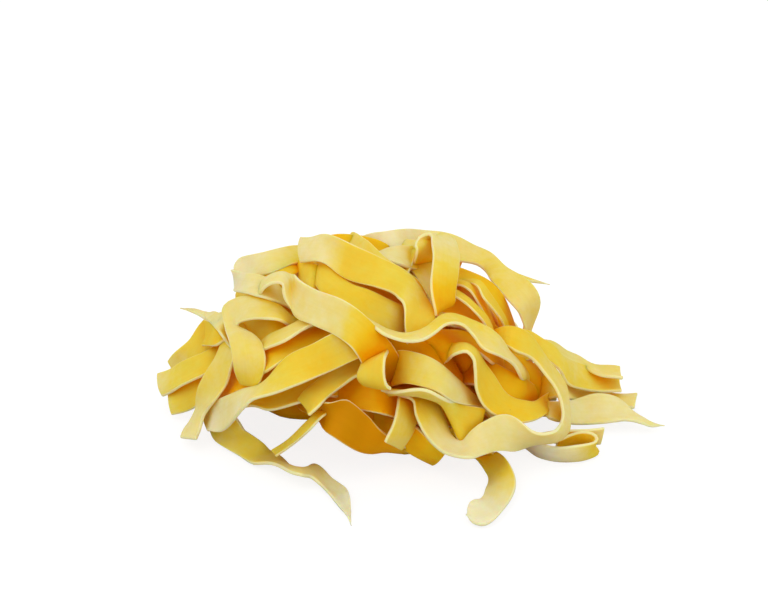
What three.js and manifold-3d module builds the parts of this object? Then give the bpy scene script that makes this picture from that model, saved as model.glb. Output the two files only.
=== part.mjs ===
// Nest of fresh tagliatelle: a loose heap of flat egg noodles lying on a table, one solid.
// Millimetres, +Z up, the front of the heap towards -Y.
import * as THREE from "three";
import { ConvexGeometry } from "three/addons/geometries/ConvexGeometry.js";
import { mergeVertices } from "three/addons/utils/BufferGeometryUtils.js";
import Module from "manifold-3d";

const deg = Math.PI / 180;
const turn = 2 * Math.PI;

// Sizes of the noodles and of the heap they make
const noodle = { width: 8.3, thickness: 1.1, rowLength: 8.5, backRowLength: 14, fewestRows: 4 };
const heap = { x: -8.17, y: 13, halfLength: 46, halfDepth: 42, height: 42, layer: 44 };
const cores = [
  { x: 8, y: 0, halfLength: 30, halfDepth: 33, height: 29 },
  { x: -12, y: 6, halfLength: 27, halfDepth: 25, height: 30 },
];
const dome = { waist: 5, sides: 18, rings: 6 };
const tuck = { reach: 5, dip: 2, deepReach: 9, deepDip: 6.5 };

// The back is heaped like the front, mirrored, on a smaller heap: narrower and lower, with the noodles
// closer to it. Two more lie at its foot, by the same stations as those that show from the front, and
// drapes hang down it from the crown. Angles are in degrees.
const backHeap = {
  halfLength: 40, halfDepth: 41, height: 40, narrower: 0.8, lower: 0.92, flatter: 0.5, sunk: 2,
};
const behind = [
  "crownUnder", "shoulderTop", "mainBand", "shoulder", "midBand", "lowerBand", "underBand", "leftLeg",
  "sCurve", "eyeBand", "swoop", "rightLoop", "rightFan", "frontLeaf", "frontTab",
];
const foot = {
  footBand: { tuck: "both", stations: [
    [-44, -3, -43, -9.5, 1], [-36, -6, -34.5, -12.5, 3], [-27, -8, -26, -15, 4.5],
    [-18, -9, -17, -15.5, 5], [-9, -8.5, -9, -14.5, 3]] },
  footTail: { tuck: "start", stations: [
    [-16, -2, -21, -6.5, 2], [-20.5, -7.5, -26, -11.5, 5], [-26.5, -13, -31.5, -16, 6],
    [-33, -17, -36.5, -20, 4]] },
};
const drapes = {
  count: 7, bearing: [-160, -20], height: [62, 76], heading: [55, 125], length: [46, 74],
  bend: [-1.15, 1.15], lift: -1, sway: 1.2, roll: 24, tuck: "start",
};
const walk = { gap: 8, rollWaves: 1.3, bendWaves: 0.5, tableLift: 0.3 };
const stride = { start: 0.37, height: 0.618, heading: 0.755, length: 0.57, bend: 0.414, phase: 0.732 };

// Front view in which the stations of the showing noodles are measured
const front = { elevation: 25 * deg, distance: 600, right: 2.25, above: 24.4, level: 21.75 };

const heapCentre = new THREE.Vector3(heap.x, heap.y, 0);
const heapHalf = new THREE.Vector3(heap.halfLength, heap.halfDepth, heap.height);
const backHalf = new THREE.Vector3(backHeap.halfLength, backHeap.halfDepth, backHeap.height);
const sightUp = new THREE.Vector3(0, Math.sin(front.elevation), Math.cos(front.elevation));
const sightAhead = new THREE.Vector3(0, Math.cos(front.elevation), -Math.sin(front.elevation));
const sightRight = new THREE.Vector3(1, 0, 0);
const eye = new THREE.Vector3(heap.x + front.right, heap.y, front.above).addScaledVector(
  sightAhead,
  -front.distance,
);

// Each showing noodle, by stations along it: one edge across and up, the other edge across and up,
// as seen from the front, and the lift off the heap (or the height above the table outside it).
// Some stations also say which of the two edges is nearer, and a noodle that is narrower says its width.
const showing = {
  crownBand: { tuck: "end", stations: [
    [-21, 39.5, -21, 33, 2], [-14.75, 39.75, -14.75, 32.5, 4], [-8.5, 37.5, -9, 28.75, 5],
    [-1, 34.25, -2.25, 26.5, 5], [5.75, 31.25, 3, 25, 4], [10.75, 23.25, 5, 22.75, 3],
    [12.75, 18.5, 5.25, 15.75, 1]] },
  crownUnder: { tuck: "both", stations: [
    [-16, 33.5, -17, 27, 0.5], [-13, 31.5, -15.5, 25, 1.5], [-8, 27.25, -10.75, 22.5, 2],
    [-1.5, 24.5, -4.5, 18.25, 2.5], [4.5, 22.5, 0.5, 15.75, 1.5], [6.25, 20.5, 4.5, 14, -2]] },
  crownStrap: { tuck: "none", stations: [
    [12.5, 20, 17, 22.25, 2], [12.25, 21.75, 17.75, 23.25, 3.5], [11.75, 25, 18, 24.5, 5],
    [12, 29.75, 18.75, 29.25, 6], [12, 35.5, 19, 34.5, 5.5], [11.75, 39.5, 17.5, 38.5, 4.5],
    [8.75, 38.25, 14, 39.5, 3.5], [7.75, 35.5, 13, 34.5, 2.8], [7, 33, 12, 32, 0],
    [5, 31.5, 9.5, 30, -4]] },
  crownPatch: { tuck: "start", stations: [
    [-0.5, 36, 0.5, 33, 1], [3, 36.75, 4.5, 32, 1.5], [6.5, 37, 7.5, 31.25, 0.5], [10, 37, 11, 31, -1],
    [13.5, 36.5, 14, 31, -2.5]] },
  backArch: { tuck: "both", stations: [
    [-4.5, 40, -0.5, 33, -3], [1, 41, 3, 34, -2], [7, 41.5, 7, 34.25, -2], [14, 40.25, 12, 33.5, -2],
    [21.5, 37.75, 19, 32.75, -1], [26, 36, 24, 32, 0], [30.25, 32.5, 26.75, 28.25, 1],
    [34.25, 29.5, 30, 24.75, 2], [38, 25.75, 32.75, 21.5, 3], [39, 22, 33.75, 19.25, 2],
    [37, 16.25, 34.25, 16, -1]] },
  archTail: { tuck: "start", stations: [
    [29.5, 31.5, 29.5, 30.25, -2], [32.5, 30.5, 32.5, 29.25, -1.5], [36.5, 29, 36.5, 28.25, 0],
    [41.25, 27.75, 41.25, 27, 1]] },
  archInner: { tuck: "both", stations: [
    [17, 31.5, 16.5, 28, -3], [21.5, 30.5, 20.5, 26.5, -1], [26, 28.25, 23.75, 23.5, 0],
    [29.75, 24.25, 26.75, 19.5, 0], [33.25, 18, 29, 15.5, -2]] },
  shoulderTop: { tuck: "both", stations: [
    [-20.5, 37, -21, 32.75, 0], [-26.5, 36.25, -26, 31, 1.5], [-31.75, 35.25, -30.75, 29.5, 2],
    [-35.75, 33.5, -34.75, 28.5, 2.5], [-37.75, 31.25, -36.75, 26.25, 3.2],
    [-36, 30.5, -35.5, 25.25, 4], [-32.5, 29.75, -32.5, 24.75, 4], [-29, 28.5, -29, 24, 2.5]] },
  shoulderUnder: { tuck: "both", stations: [
    [-20, 34.5, -20, 30.5, -1], [-25, 33, -24.5, 28.5, 1], [-29.5, 31, -28, 26.5, 1],
    [-34.5, 28.5, -33.5, 23.5, 0]] },
  mainBand: { tuck: "both", stations: [
    [-31.5, 22.5, -29.5, 22.5, 0], [-32, 25.75, -30.5, 24.75, 3], [-30.25, 28.25, -29.25, 26.75, 5],
    [-27.75, 30.25, -27, 28, 6], [-25.25, 31, -24.75, 27.5, 6.5], [-23.25, 30, -24, 23.5, 6.5],
    [-21, 28.5, -21.75, 19.5, 6.75], [-17, 26, -18, 17.5, 7], [-9.75, 23.5, -12.75, 14.75, 7],
    [-4, 19, -8.5, 12, 6.5], [1, 13.5, -6.25, 9.25, 4], [3.5, 9.5, -4.5, 6, 1]] },
  shoulder: { tuck: "start", stations: [
    [-23, 19.5, -24, 17.5, 1], [-27, 22.25, -27, 18.75, 2], [-31.25, 24.75, -31.5, 19, 3],
    [-36, 24.25, -35, 18, 3.5], [-39.5, 22.25, -36, 17, 4], [-40.25, 18.5, -34.5, 15.75, 5],
    [-39, 14.5, -31, 13.5, 5.5], [-38, 10, -30, 10, 5.5], [-37.5, 5.75, -29.75, 6, 4.8],
    [-36.5, 2.5, -31, 2.25, 4]] },
  midBand: { tuck: "both", stations: [
    [-33.5, 9, -32.5, 4, 1], [-29.5, 11.75, -28.5, 6, 2.6], [-24.5, 14.25, -23.5, 8.75, 3.2],
    [-19, 16.5, -17.5, 11.25, 3.2], [-13.5, 18, -12, 13, 1.8]] },
  lowerBand: { tuck: "start", stations: [
    [-12.5, 15.5, -5.5, 9, 3], [-18.5, 12.25, -13.5, 5.5, 5], [-23.5, 9.5, -19.5, 3.25, 6],
    [-27.75, 6.25, -24.75, 1.75, 6], [-31.25, 2, -32, -0.75, 5.5], [-35.5, 0.75, -34.25, -3.5, 5],
    [-39.5, -0.5, -37, -6.5, 4.5], [-43, -2.75, -40.5, -9, 3.5], [-45.25, -5.5, -43.5, -9, 1.5]] },
  longTail: { tuck: "none", stations: [
    [-40.5, -2.5, -44, -5, 0.6], [-37, -6.5, -43.5, -9, 1.5], [-34, -10, -40.5, -13.5, 2],
    [-30.5, -13.25, -35.25, -17, 2], [-27, -15.25, -29.5, -18.25, 2.5],
    [-23.25, -18.25, -24.25, -19.5, 3.5], [-20.75, -18.75, -20.75, -20.25, 4],
    [-17.5, -18, -18, -21, 3], [-13.5, -21, -15.5, -23.5, 2], [-9.5, -23.75, -12.75, -26.5, 1.5],
    [-8, -28, -10.25, -30, 1.2], [-8, -32.5, -8.5, -33, 0.8]] },
  underBand: { tuck: "start", stations: [
    [-4.5, 9.5, -6, 5, 1], [-10, 7.5, -10, 2.5, 2.5], [-15.5, 4.5, -14, -0.5, 3],
    [-19.5, 1, -16.5, -3.5, 3.5], [-21, -1.5, -18, -5.25, 3]] },
  straightEnd: { tuck: "start", width: 4, stations: [
    [-15.5, -3.75, -14.5, -5, 0.5], [-19.5, -7.25, -18.25, -8.5, 2.5],
    [-23.5, -10.75, -22, -11.75, 3.5], [-27.75, -14.25, -26.5, -15.5, 4]] },
  leftEndHigh: { tuck: "start", stations: [
    [-39.5, 20.5, -37, 14.5, -1], [-45.5, 18.25, -42.5, 12, 1], [-49.5, 13, -45, 8.5, 2],
    [-53.5, 8.5, -49, 3, 2]] },
  leftEndMid: { tuck: "start", stations: [
    [-36, 14.5, -36, 8, 0], [-42.5, 12, -42.5, 6, 2], [-49.5, 8, -48.5, 2.5, 4],
    [-56.75, 5, -55.5, 0, 6]] },
  leftEndLow: { tuck: "start", stations: [
    [-38.5, 8, -39, 1.5, 0], [-45, 5, -44.5, -1.5, 2], [-50, 2.5, -48.5, -3.75, 4],
    [-54, -0.5, -53, -5, 5]] },
  leftLeg: { tuck: "start", stations: [
    [-39, 15, -36, 11.5, 2], [-42.5, 9, -37.75, 7, 3.5], [-45.25, 4, -38.75, 2.5, 4.5],
    [-46.75, -0.75, -41.75, -1.5, 5], [-48.25, -5.25, -45.25, -4.75, 5], [-50, -8.5, -46.25, -8.5, 4],
    [-51, -11, -46.5, -11, 3.5]] },
  leftWisp: { tuck: "end", stations: [
    [-50.75, 21.75, -50.75, 21, 0], [-46, 20.75, -46, 20, 1], [-43, 20.5, -43.75, 18.25, 2],
    [-39.5, 19.5, -41, 15.5, 3], [-36, 17, -39, 12, 2]] },
  sCurve: { tuck: "both", stations: [
    [-9, 22.5, -9, 20.5, 2], [-3.5, 18.25, -3.25, 17, 3.5], [0.25, 15.75, 0.25, 14.5, 5],
    [4.5, 15.25, 4.75, 13.5, 6.5], [8.5, 16, 9, 13.75, 7.5], [12, 17.75, 12.5, 15.25, 7.5],
    [15.5, 19.5, 15.5, 16.5, 7], [19.5, 19.25, 19, 15.75, 6.5], [23.5, 17.75, 22, 13.5, 6],
    [27, 15.5, 24.25, 11, 5], [31, 11.75, 28.25, 9, 3.5], [34, 8.25, 32, 6.25, 2],
    [36.5, 3.75, 35.5, 1.5, 0]] },
  eyeSide: { tuck: "start", stations: [
    [-5.5, 8.25, 0.5, 9.75, 3, "right"], [-6.25, 6.25, 0.1, 7.6, 4.2, "right"],
    [-6.6, 4.35, 0.1, 4.6, 4.6, "right"], [-5.75, 3, 0.6, 2.45, 4.2, "right"],
    [-4, 2, 1.5, 1.5, 3, "right"]] },
  eyeBand: { tuck: "both", stations: [
    [0.5, 8, 1.5, 2, -3], [4, 10.75, 5.25, 2.75, 2.5], [10, 9.75, 10, 1.5, 6], [15.5, 7, 14.5, 0, 7],
    [19.5, 3.25, 17.5, -1.5, 6.5], [22.75, -1, 20.75, -2.5, 5.5], [26.5, -5.5, 25.5, -4.5, 3]] },
  swoop: { tuck: "both", stations: [
    [14, 9.5, 15.5, 8, -1], [16.5, 11.75, 17.5, 10, 2], [20, 12.75, 20.5, 11, 4],
    [23.25, 11.25, 22.5, 9, 5], [25, 7.5, 22.5, 6, 5.5], [27, 4.25, 22.5, 1, 5.5], [30, 1, 25, -3.5, 5],
    [34, -1.5, 31.25, -6.5, 4.5], [37.5, -2, 37, -6.5, 3.5], [40.5, -0.25, 41.25, -4, 1.5]] },
  rightLoop: { tuck: "both", stations: [
    [25.5, 15, 27.5, 11, -1], [29.75, 16.75, 30.25, 12, 2.5], [33.75, 16.5, 32.75, 10.5, 4],
    [37.5, 14.5, 35.75, 8.5, 5], [40.5, 10.5, 37.75, 6.5, 6], [43, 6, 39.25, 4, 7], [45, 2, 40, 0.5, 8],
    [46.25, -2, 41.75, -2.75, 9], [46.75, -5.75, 43.75, -5.5, 9], [46, -9.5, 43.75, -8, 8],
    [43, -12.25, 41.75, -9.5, 7], [37.5, -13.5, 37, -9.25, 6], [29.75, -14, 30, -5.25, 5.5],
    [24.75, -15.25, 24, -7.5, 6.5], [19.75, -16.25, 20, -12.5, 7, "left"],
    [15, -14.75, 17, -10.5, 5, "left"], [11.25, -10.25, 15.5, -6, 3.5, "left"],
    [8, -5, 12.5, -1, 3, "left"], [7, -1.5, 10, 1, 2, "left"]] },
  loopFlap: { tuck: "start", stations: [
    [10.5, 0.5, 10, -1, 4.5], [14.25, -0.75, 14.5, -2.75, 5.8], [16.75, -1.75, 16.75, -7.5, 6.2],
    [19.25, -2.5, 19.25, -12, 6], [24.75, -3.75, 23.75, -12.75, 5]] },
  rightFanHigh: { tuck: "start", stations: [
    [41, 13.5, 44, 8.5, 0], [45.5, 10.75, 47.5, 7.5, 2], [49, 9.5, 50.5, 6.5, 4],
    [53.25, 6.75, 54.5, 4.5, 7], [59, 6, 59, 3.5, 7]] },
  rightFan: { tuck: "start", stations: [
    [35.5, 16, 39, 9, 0], [40.5, 13.25, 43, 6.5, 2], [44.5, 10.5, 46, 3, 3], [48.5, 7.5, 49.5, 1.5, 4],
    [54, 5, 54, 0.25, 5], [58.75, 4.5, 58.75, 0.5, 5]] },
  rightFanLow: { tuck: "start", stations: [
    [43, 4.5, 44, -0.5, 2], [49, 1.75, 49, -2, 3], [55.5, 0.75, 55, -2.5, 3],
    [63.5, 0, 62, -2.75, 3]] },
  rightFlat: { tuck: "start", stations: [
    [37, -2.5, 37.5, -5, 1], [42, -2.25, 41.5, -6, 2.5], [47, -1.75, 46.5, -7, 4],
    [54, -0.5, 54, -7.5, 4.5], [60, -1.75, 59.25, -7, 4], [64.5, -5.25, 64, -7, 3],
    [67.5, -6.75, 66.75, -8.25, 2], [70, -7.5, 69.75, -8.25, 1.5]] },
  rightCurl: { tuck: "start", width: 5.5, stations: [
    [35.5, -11.25, 35.2, -14, 2.8, "left"], [39.5, -12.5, 39.1, -16, 3, "left"],
    [44.5, -13.25, 44.3, -17.25, 3.1, "left"], [49, -13, 49.4, -17, 3.1, "left"],
    [52.2, -11.75, 53, -15.25, 3.1, "left"], [51.9, -10.5, 52.5, -14, 3.1, "left"],
    [49.5, -9.75, 49.9, -13.6, 3.1, "left"], [46.5, -9.9, 46.4, -13.7, 3.1, "left"],
    [43.5, -11, 43.2, -14.2, 3.1, "left"]] },
  rightCurlFar: { tuck: "start", width: 5.2, stations: [
    [41, -9.5, 41.5, -12.5, 3, "left"], [46, -9.25, 46.5, -12.75, 3, "left"],
    [50.5, -8.75, 50.5, -12.5, 3, "left"], [54.75, -8.25, 54, -12.75, 3, "left"]] },
  frontLeaf: { tuck: "both", stations: [
    [-13.5, -2, -16.5, -6, 0.5], [-8.5, -2, -13.5, -10, 2], [-4.5, -5, -9, -13.25, 3],
    [-0.75, -8.75, -4, -15.25, 3], [3.5, -13, 1.5, -15.25, 2]] },
  frontTab: { tuck: "start", stations: [
    [3.5, -2, 8.5, -5, 1], [2.5, -6.5, 8, -8, 3], [1.5, -9.25, 7, -10.75, 3.5],
    [0.25, -11.5, 4.5, -14, 3]] },
  frontFlap: { tuck: "start", stations: [
    [6.5, -7.5, 2.5, -12.5, 0], [10, -9.75, 6, -14.75, 2], [12.5, -12.25, 9, -16.5, 2.5],
    [15, -14.75, 12, -18.25, 2]] },
  frontCurl: { tuck: "start", stations: [
    [18, -10, 24.5, -8.75, 2], [19.5, -13.5, 26, -12.25, 2], [21.5, -16.5, 28, -15.25, 1.5],
    [24.25, -19, 30.5, -17.5, 1.2], [26, -22.25, 32.25, -21.75, 1], [25.5, -24.75, 31.75, -25.75, 1.2],
    [24.25, -26.25, 29.25, -29.75, 1.8], [22.75, -26.75, 25.75, -32.5, 2.2],
    [20, -27.25, 21.5, -33.25, 2.3]] },
};

// Unit direction in which the heap's surface faces, straight up on the table
function facing(point, onTable, size) {
  if (onTable) return new THREE.Vector3(0, 0, 1);
  const p = point.clone().sub(heapCentre);
  return p.divide(size).divide(size).normalize();
}

// Where the sight line through a place in the front view meets the heap, lifted, or the table
function seat(across, up, lift, size) {
  const ray = sightAhead
    .clone()
    .multiplyScalar(front.distance)
    .addScaledVector(sightRight, across)
    .addScaledVector(sightUp, up - front.level)
    .normalize();
  const half = size.clone().multiplyScalar(1 + lift / heap.layer);
  const o = eye.clone().sub(heapCentre).divide(half);
  const d = ray.clone().divide(half);
  const a = d.dot(d);
  const b = d.dot(o);
  const root = b * b - a * (o.dot(o) - 1);
  const onHeap = (-b - Math.sqrt(Math.max(root, 0))) / a;
  const onTable = (Math.max(lift, noodle.thickness / 2) - eye.z) / ray.z;
  const point = eye.clone().addScaledVector(ray, Math.min(onHeap, onTable));
  return { point, up: facing(point, onTable < onHeap, size) };
}

// How a noodle's rows turn between stations: lying flat counts, running on smoothly counts more
const turning = { flat: 0.6, smooth: 2 };

// Knots of a noodle's route: at each station its middle, its width's direction and what is up there.
// A row may lean away on either side: the ways that lie flattest and turn least are taken.
function knotsOf(stations, size, width = noodle.width) {
  const choices = stations.map(([leftAcross, leftUp, rightAcross, rightUp, lift, nearer]) => {
    const { point, up } = seat((leftAcross + rightAcross) / 2, (leftUp + rightUp) / 2, lift, size);
    const scale = point.clone().sub(eye).dot(sightAhead) / front.distance;
    const seen = sightRight
      .clone()
      .multiplyScalar((rightAcross - leftAcross) * scale)
      .addScaledVector(sightUp, (rightUp - leftUp) * scale);
    const away = Math.sqrt(Math.max(width ** 2 - seen.lengthSq(), 0));
    const leaning = Object.entries({ left: away, right: -away });
    return leaning
      .filter(([way]) => !nearer || way === nearer)
      .map(([, deep]) => ({ point, up, span: seen.clone().addScaledVector(sightAhead, deep).normalize() }));
  });
  const tilt = (knot) => turning.flat * Math.abs(knot.span.dot(knot.up));
  const cheaper = (a, b) => (b.cost < a.cost ? b : a);
  let ways = choices[0].map((knot) => ({ cost: tilt(knot), knots: [knot] }));
  for (const pair of choices.slice(1)) {
    ways = pair.map((knot) => {
      const turned = (way) => turning.smooth * (1 - way.knots.at(-1).span.dot(knot.span));
      const onward = ways.map((way) => ({
        cost: way.cost + turned(way) + tilt(knot),
        knots: [...way.knots, knot],
      }));
      return onward.reduce(cheaper);
    });
  }
  return ways.reduce(cheaper).knots;
}

// Stations of the same noodle on the smaller heap behind
function backStations(stations) {
  return stations.map(([leftAcross, leftUp, rightAcross, rightUp, lift, ...nearer]) => {
    const shift = ((leftAcross + rightAcross) / 2) * (backHeap.narrower - 1);
    const drop = Math.max((leftUp + rightUp) / 2, 0) * (backHeap.lower - 1);
    const sits = lift * backHeap.flatter - backHeap.sunk;
    return [leftAcross + shift, leftUp + drop, rightAcross + shift, rightUp + drop, sits, ...nearer];
  });
}

// The same route on the other side of the heap
function mirrored(knots) {
  const flip = new THREE.Vector3(1, -1, 1);
  return knots.map(({ point, span, up }) => ({
    point: point.clone().multiply(flip).setY(2 * heap.y - point.y),
    span: span.clone().multiply(flip),
    up: up.clone().multiply(flip),
  }));
}

// Two more knots before the first, diving into the heap
function tucked(knots) {
  const [end, next] = knots;
  const on = end.point.clone().sub(next.point);
  on.setZ(Math.min(on.z, 0)).normalize();
  const dive = (reach, dip) => ({
    ...end,
    point: end.point.clone().addScaledVector(on, reach).addScaledVector(end.up, -dip),
  });
  return [dive(tuck.deepReach, tuck.deepDip), dive(tuck.reach, tuck.dip), ...knots];
}

function withTucks(knots, ends) {
  const begun = ends === "start" || ends === "both" ? tucked(knots) : knots;
  return ends === "end" || ends === "both" ? tucked(begun.reverse()).reverse() : begun;
}

const between = ([low, high], part) => low + (high - low) * part;

// A drape: it walks over a heap from a bearing and a height, swaying and turning as it goes
function walkOf(kind, number, size) {
  const drawn = (name) => between(kind[name], (number * stride[name] + stride.start) % 1);
  const bearing = between(kind.bearing, (number + 0.5) / kind.count) * deg;
  const height = drawn("height") * deg;
  const phase = turn * ((number * stride.phase + stride.start) % 1);
  const steps = Math.round(drawn("length") / walk.gap);
  const level = new THREE.Vector3(Math.cos(bearing), Math.sin(bearing), 0).multiplyScalar(Math.cos(height));
  const point = level.setZ(Math.sin(height)).multiply(size).add(heapCentre);
  let up = facing(point, false, size);
  const round = new THREE.Vector3(-Math.sin(bearing), Math.cos(bearing), 0);
  const along = round.applyAxisAngle(up, drawn("heading") * deg);
  const knots = [];
  for (let i = 0; i <= steps; i++) {
    const wave = (turn * i) / steps + phase;
    const onTable = point.z < noodle.thickness;
    const sway = kind.lift + kind.sway * Math.sin(wave);
    const rise = onTable ? Math.abs(sway) * walk.tableLift : sway;
    const roll = kind.roll * deg * Math.cos(walk.rollWaves * wave);
    const span = up.clone().cross(along).applyAxisAngle(along, roll).normalize();
    knots.push({ point: point.clone().addScaledVector(up, rise), span, up });
    along.applyAxisAngle(up, drawn("bend") * deg * walk.gap * Math.cos(walk.bendWaves * wave));
    const next = point.clone().addScaledVector(along, walk.gap).sub(heapCentre);
    if (next.z > noodle.thickness) next.divideScalar(next.clone().divide(size).length());
    next.add(heapCentre).setZ(Math.max(next.z, noodle.thickness / 2));
    along.copy(next).sub(point);
    point.copy(next);
    up = facing(point, point.z < noodle.thickness, size);
    along.addScaledVector(up, -along.dot(up)).normalize();
  }
  return withTucks(knots, kind.tuck);
}

// Smooth rows along a route, evenly spaced, none lower than the table
function rowsOf({ knots, rowLength, width }) {
  const middle = new THREE.CatmullRomCurve3(knots.map((k) => k.point), false, "catmullrom");
  const spans = new THREE.CatmullRomCurve3(knots.map((k) => k.span), false, "catmullrom");
  const count = Math.max(noodle.fewestRows, Math.round(middle.getLength() / rowLength));
  const rows = [];
  for (let i = 0; i <= count; i++) {
    const t = middle.getUtoTmapping(i / count);
    const along = middle.getTangent(t);
    const span = spans.getPoint(t);
    span.addScaledVector(along, -span.dot(along)).normalize();
    const flat = along.clone().cross(span);
    const point = middle.getPoint(t);
    const below = (Math.abs(span.z) * width + Math.abs(flat.z) * noodle.thickness) / 2;
    point.z = Math.max(point.z, below);
    rows.push({ point, span, flat });
  }
  return rows;
}

// A noodle as a chain of flat links, each from one row to the next
function noodleLinks(route) {
  const corners = rowsOf(route).map(({ point, span, flat }) => {
    const side = span.clone().multiplyScalar(route.width / 2);
    const face = flat.clone().multiplyScalar(noodle.thickness / 2);
    return [
      point.clone().add(side).add(face),
      point.clone().add(side).sub(face),
      point.clone().sub(side).sub(face),
      point.clone().sub(side).add(face),
    ];
  });
  return corners.slice(1).map((row, i) => new ConvexGeometry([...corners[i], ...row]));
}

// Hidden middle of the heap: low domes with a flat underside, narrower at the foot
function domeGeometry(core) {
  const rise = core.height - dome.waist;
  const foot = -Math.asin(dome.waist / rise);
  const profile = [new THREE.Vector2(0, 0)];
  for (let i = 0; i < dome.rings; i++) {
    const angle = between([foot, 90 * deg], i / dome.rings);
    profile.push(new THREE.Vector2(Math.cos(angle), dome.waist + rise * Math.sin(angle)));
  }
  profile.push(new THREE.Vector2(0, core.height));
  const made = new THREE.LatheGeometry(profile, dome.sides);
  made.rotateX(90 * deg);
  made.scale(core.halfLength, core.halfDepth, 1);
  made.translate(heap.x + core.x, heap.y + core.y, 0);
  return made;
}

const manifold = await Module();
manifold.setup();

function solidOf(geometry) {
  const bare = new THREE.BufferGeometry();
  const spread = geometry.index ? geometry.toNonIndexed() : geometry;
  bare.setAttribute("position", spread.getAttribute("position"));
  const merged = mergeVertices(bare, 1e-4);
  const corners = [];
  const index = merged.index.array;
  for (let i = 0; i < index.length; i += 3) {
    const [a, b, c] = [index[i], index[i + 1], index[i + 2]];
    if (a !== b && b !== c && c !== a) corners.push(a, b, c);
  }
  return new manifold.Manifold(
    new manifold.Mesh({
      numProp: 3,
      vertProperties: merged.attributes.position.array,
      triVerts: new Uint32Array(corners),
    }),
  );
}

const routes = Object.values(showing).map(({ stations, tuck: ends, width = noodle.width }) => ({
  knots: withTucks(knotsOf(stations, heapHalf, width), ends),
  rowLength: noodle.rowLength,
  width,
}));
const behindRoutes = [...behind.map((name) => showing[name]), ...Object.values(foot)].map(
  ({ stations, tuck: ends }) => withTucks(knotsOf(backStations(stations), backHalf), ends),
);
for (let number = 0; number < drapes.count; number++) behindRoutes.push(walkOf(drapes, number, backHalf));
for (const knots of behindRoutes) {
  routes.push({ knots: mirrored(knots), rowLength: noodle.backRowLength, width: noodle.width });
}

let fused = cores.map(domeGeometry).map(solidOf).reduce((a, b) => a.add(b));
for (const route of routes) {
  const links = noodleLinks(route).map(solidOf);
  fused = fused.add(links.reduce((chain, link) => chain.add(link)));
}

// The largest body is the heap: scraps are left off and closed hollows filled
const bodies = fused.decompose();
const heapMesh = bodies.reduce((a, b) => (b.volume() > a.volume() ? b : a)).getMesh();
const geometry = new THREE.BufferGeometry();
geometry.setAttribute("position", new THREE.BufferAttribute(heapMesh.vertProperties, 3));
geometry.setIndex(new THREE.BufferAttribute(heapMesh.triVerts, 1));
geometry.computeVertexNormals();

// Fresh egg pasta: warm pale yellow, dull with flour
const eggPasta = new THREE.MeshStandardMaterial({ color: 0xe9c94f, roughness: 0.62, metalness: 0 });

const nest = new THREE.Group();
nest.name = "tagliatelle_nest";
const heapPart = new THREE.Mesh(geometry, eggPasta);
heapPart.name = "pasta_nest";
nest.add(heapPart);

export default nest;
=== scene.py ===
import math

import bmesh
import bpy
import numpy as np
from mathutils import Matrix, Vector, kdtree, noise
from mathutils.bvhtree import BVHTree


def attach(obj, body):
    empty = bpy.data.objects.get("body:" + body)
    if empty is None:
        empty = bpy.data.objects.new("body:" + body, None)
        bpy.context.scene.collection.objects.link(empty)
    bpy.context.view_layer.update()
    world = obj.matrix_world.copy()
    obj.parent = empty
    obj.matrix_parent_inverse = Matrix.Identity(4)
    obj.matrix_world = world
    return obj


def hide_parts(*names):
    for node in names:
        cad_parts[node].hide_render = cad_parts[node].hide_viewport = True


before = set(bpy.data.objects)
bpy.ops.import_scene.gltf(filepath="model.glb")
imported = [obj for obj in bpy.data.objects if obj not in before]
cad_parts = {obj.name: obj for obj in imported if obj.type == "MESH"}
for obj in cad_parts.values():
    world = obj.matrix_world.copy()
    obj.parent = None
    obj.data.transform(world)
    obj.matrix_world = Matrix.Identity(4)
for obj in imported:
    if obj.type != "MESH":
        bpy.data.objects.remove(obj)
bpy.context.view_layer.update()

mm = 0.001
turn = 2 * math.pi

# Fresh tagliatelle: strips of rolled egg dough, lying in a loose heap on a table. Sizes in mm.
noodle = {
    "width": 8.3, "widest": 9.5, "thickness": 0.9, "across": 8,
    "rowLength": 1.1, "endRowLength": 1.1 / 3, "fewestRows": 8, "curveSteps": 16,
    "edgeRound": 0.28, "edgeSteps": 2, "endThin": (0.55, 0.9), "endOut": (1.0, 0.6), "leastHalf": 0.1,
    "curl": 0.55, "curlLength": 34.0, "curlLevel": 0.4, "flutter": 0.38, "flutterLength": (15.0, 19.05),
    "widthSway": 0.05, "swayLength": 27.0, "fullThickness": 1.6,
    "pointTaper": 0.7, "leastEnd": 0.12, "tableGap": 0.15, "tableSmooth": 3.0, "seatGap": 0.02,
}
heap = {"x": -8.17, "y": 13.0, "halfLength": 46.0, "halfDepth": 42.0, "height": 42.0, "layer": 44.0}
tuck = {"reach": 5.0, "dip": 2.0, "deepReach": 9.0, "deepDip": 6.5}
frontView = {
    "elevation": math.radians(25), "distance": 600.0, "right": 2.25, "above": 24.4, "level": 21.75,
    "pixelsPerMm": 4.0, "pictureWidth": 768, "sensor": 36.0,
}


def halfOf(dome):
    return np.array([dome["halfLength"], dome["halfDepth"], dome["height"]])


heapCentre = np.array([heap["x"], heap["y"], 0.0])
heapHalf = halfOf(heap)
sightRight = np.array([1.0, 0.0, 0.0])
sightUp = np.array([0.0, math.sin(frontView["elevation"]), math.cos(frontView["elevation"])])
sightAhead = np.array([0.0, math.cos(frontView["elevation"]), -math.sin(frontView["elevation"])])
aim = heapCentre + np.array([frontView["right"], 0.0, frontView["above"]])
eye = aim - sightAhead * frontView["distance"]


def unit(v):
    return v / np.maximum(np.linalg.norm(v, axis=-1, keepdims=True), 1e-9)


# Direction in which the heap's surface faces, straight up on the table
def facing(point, onTable, half=heapHalf, centre=heapCentre):
    if onTable:
        return np.array([0.0, 0.0, 1.0])
    return unit((point - centre) / half ** 2)


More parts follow.
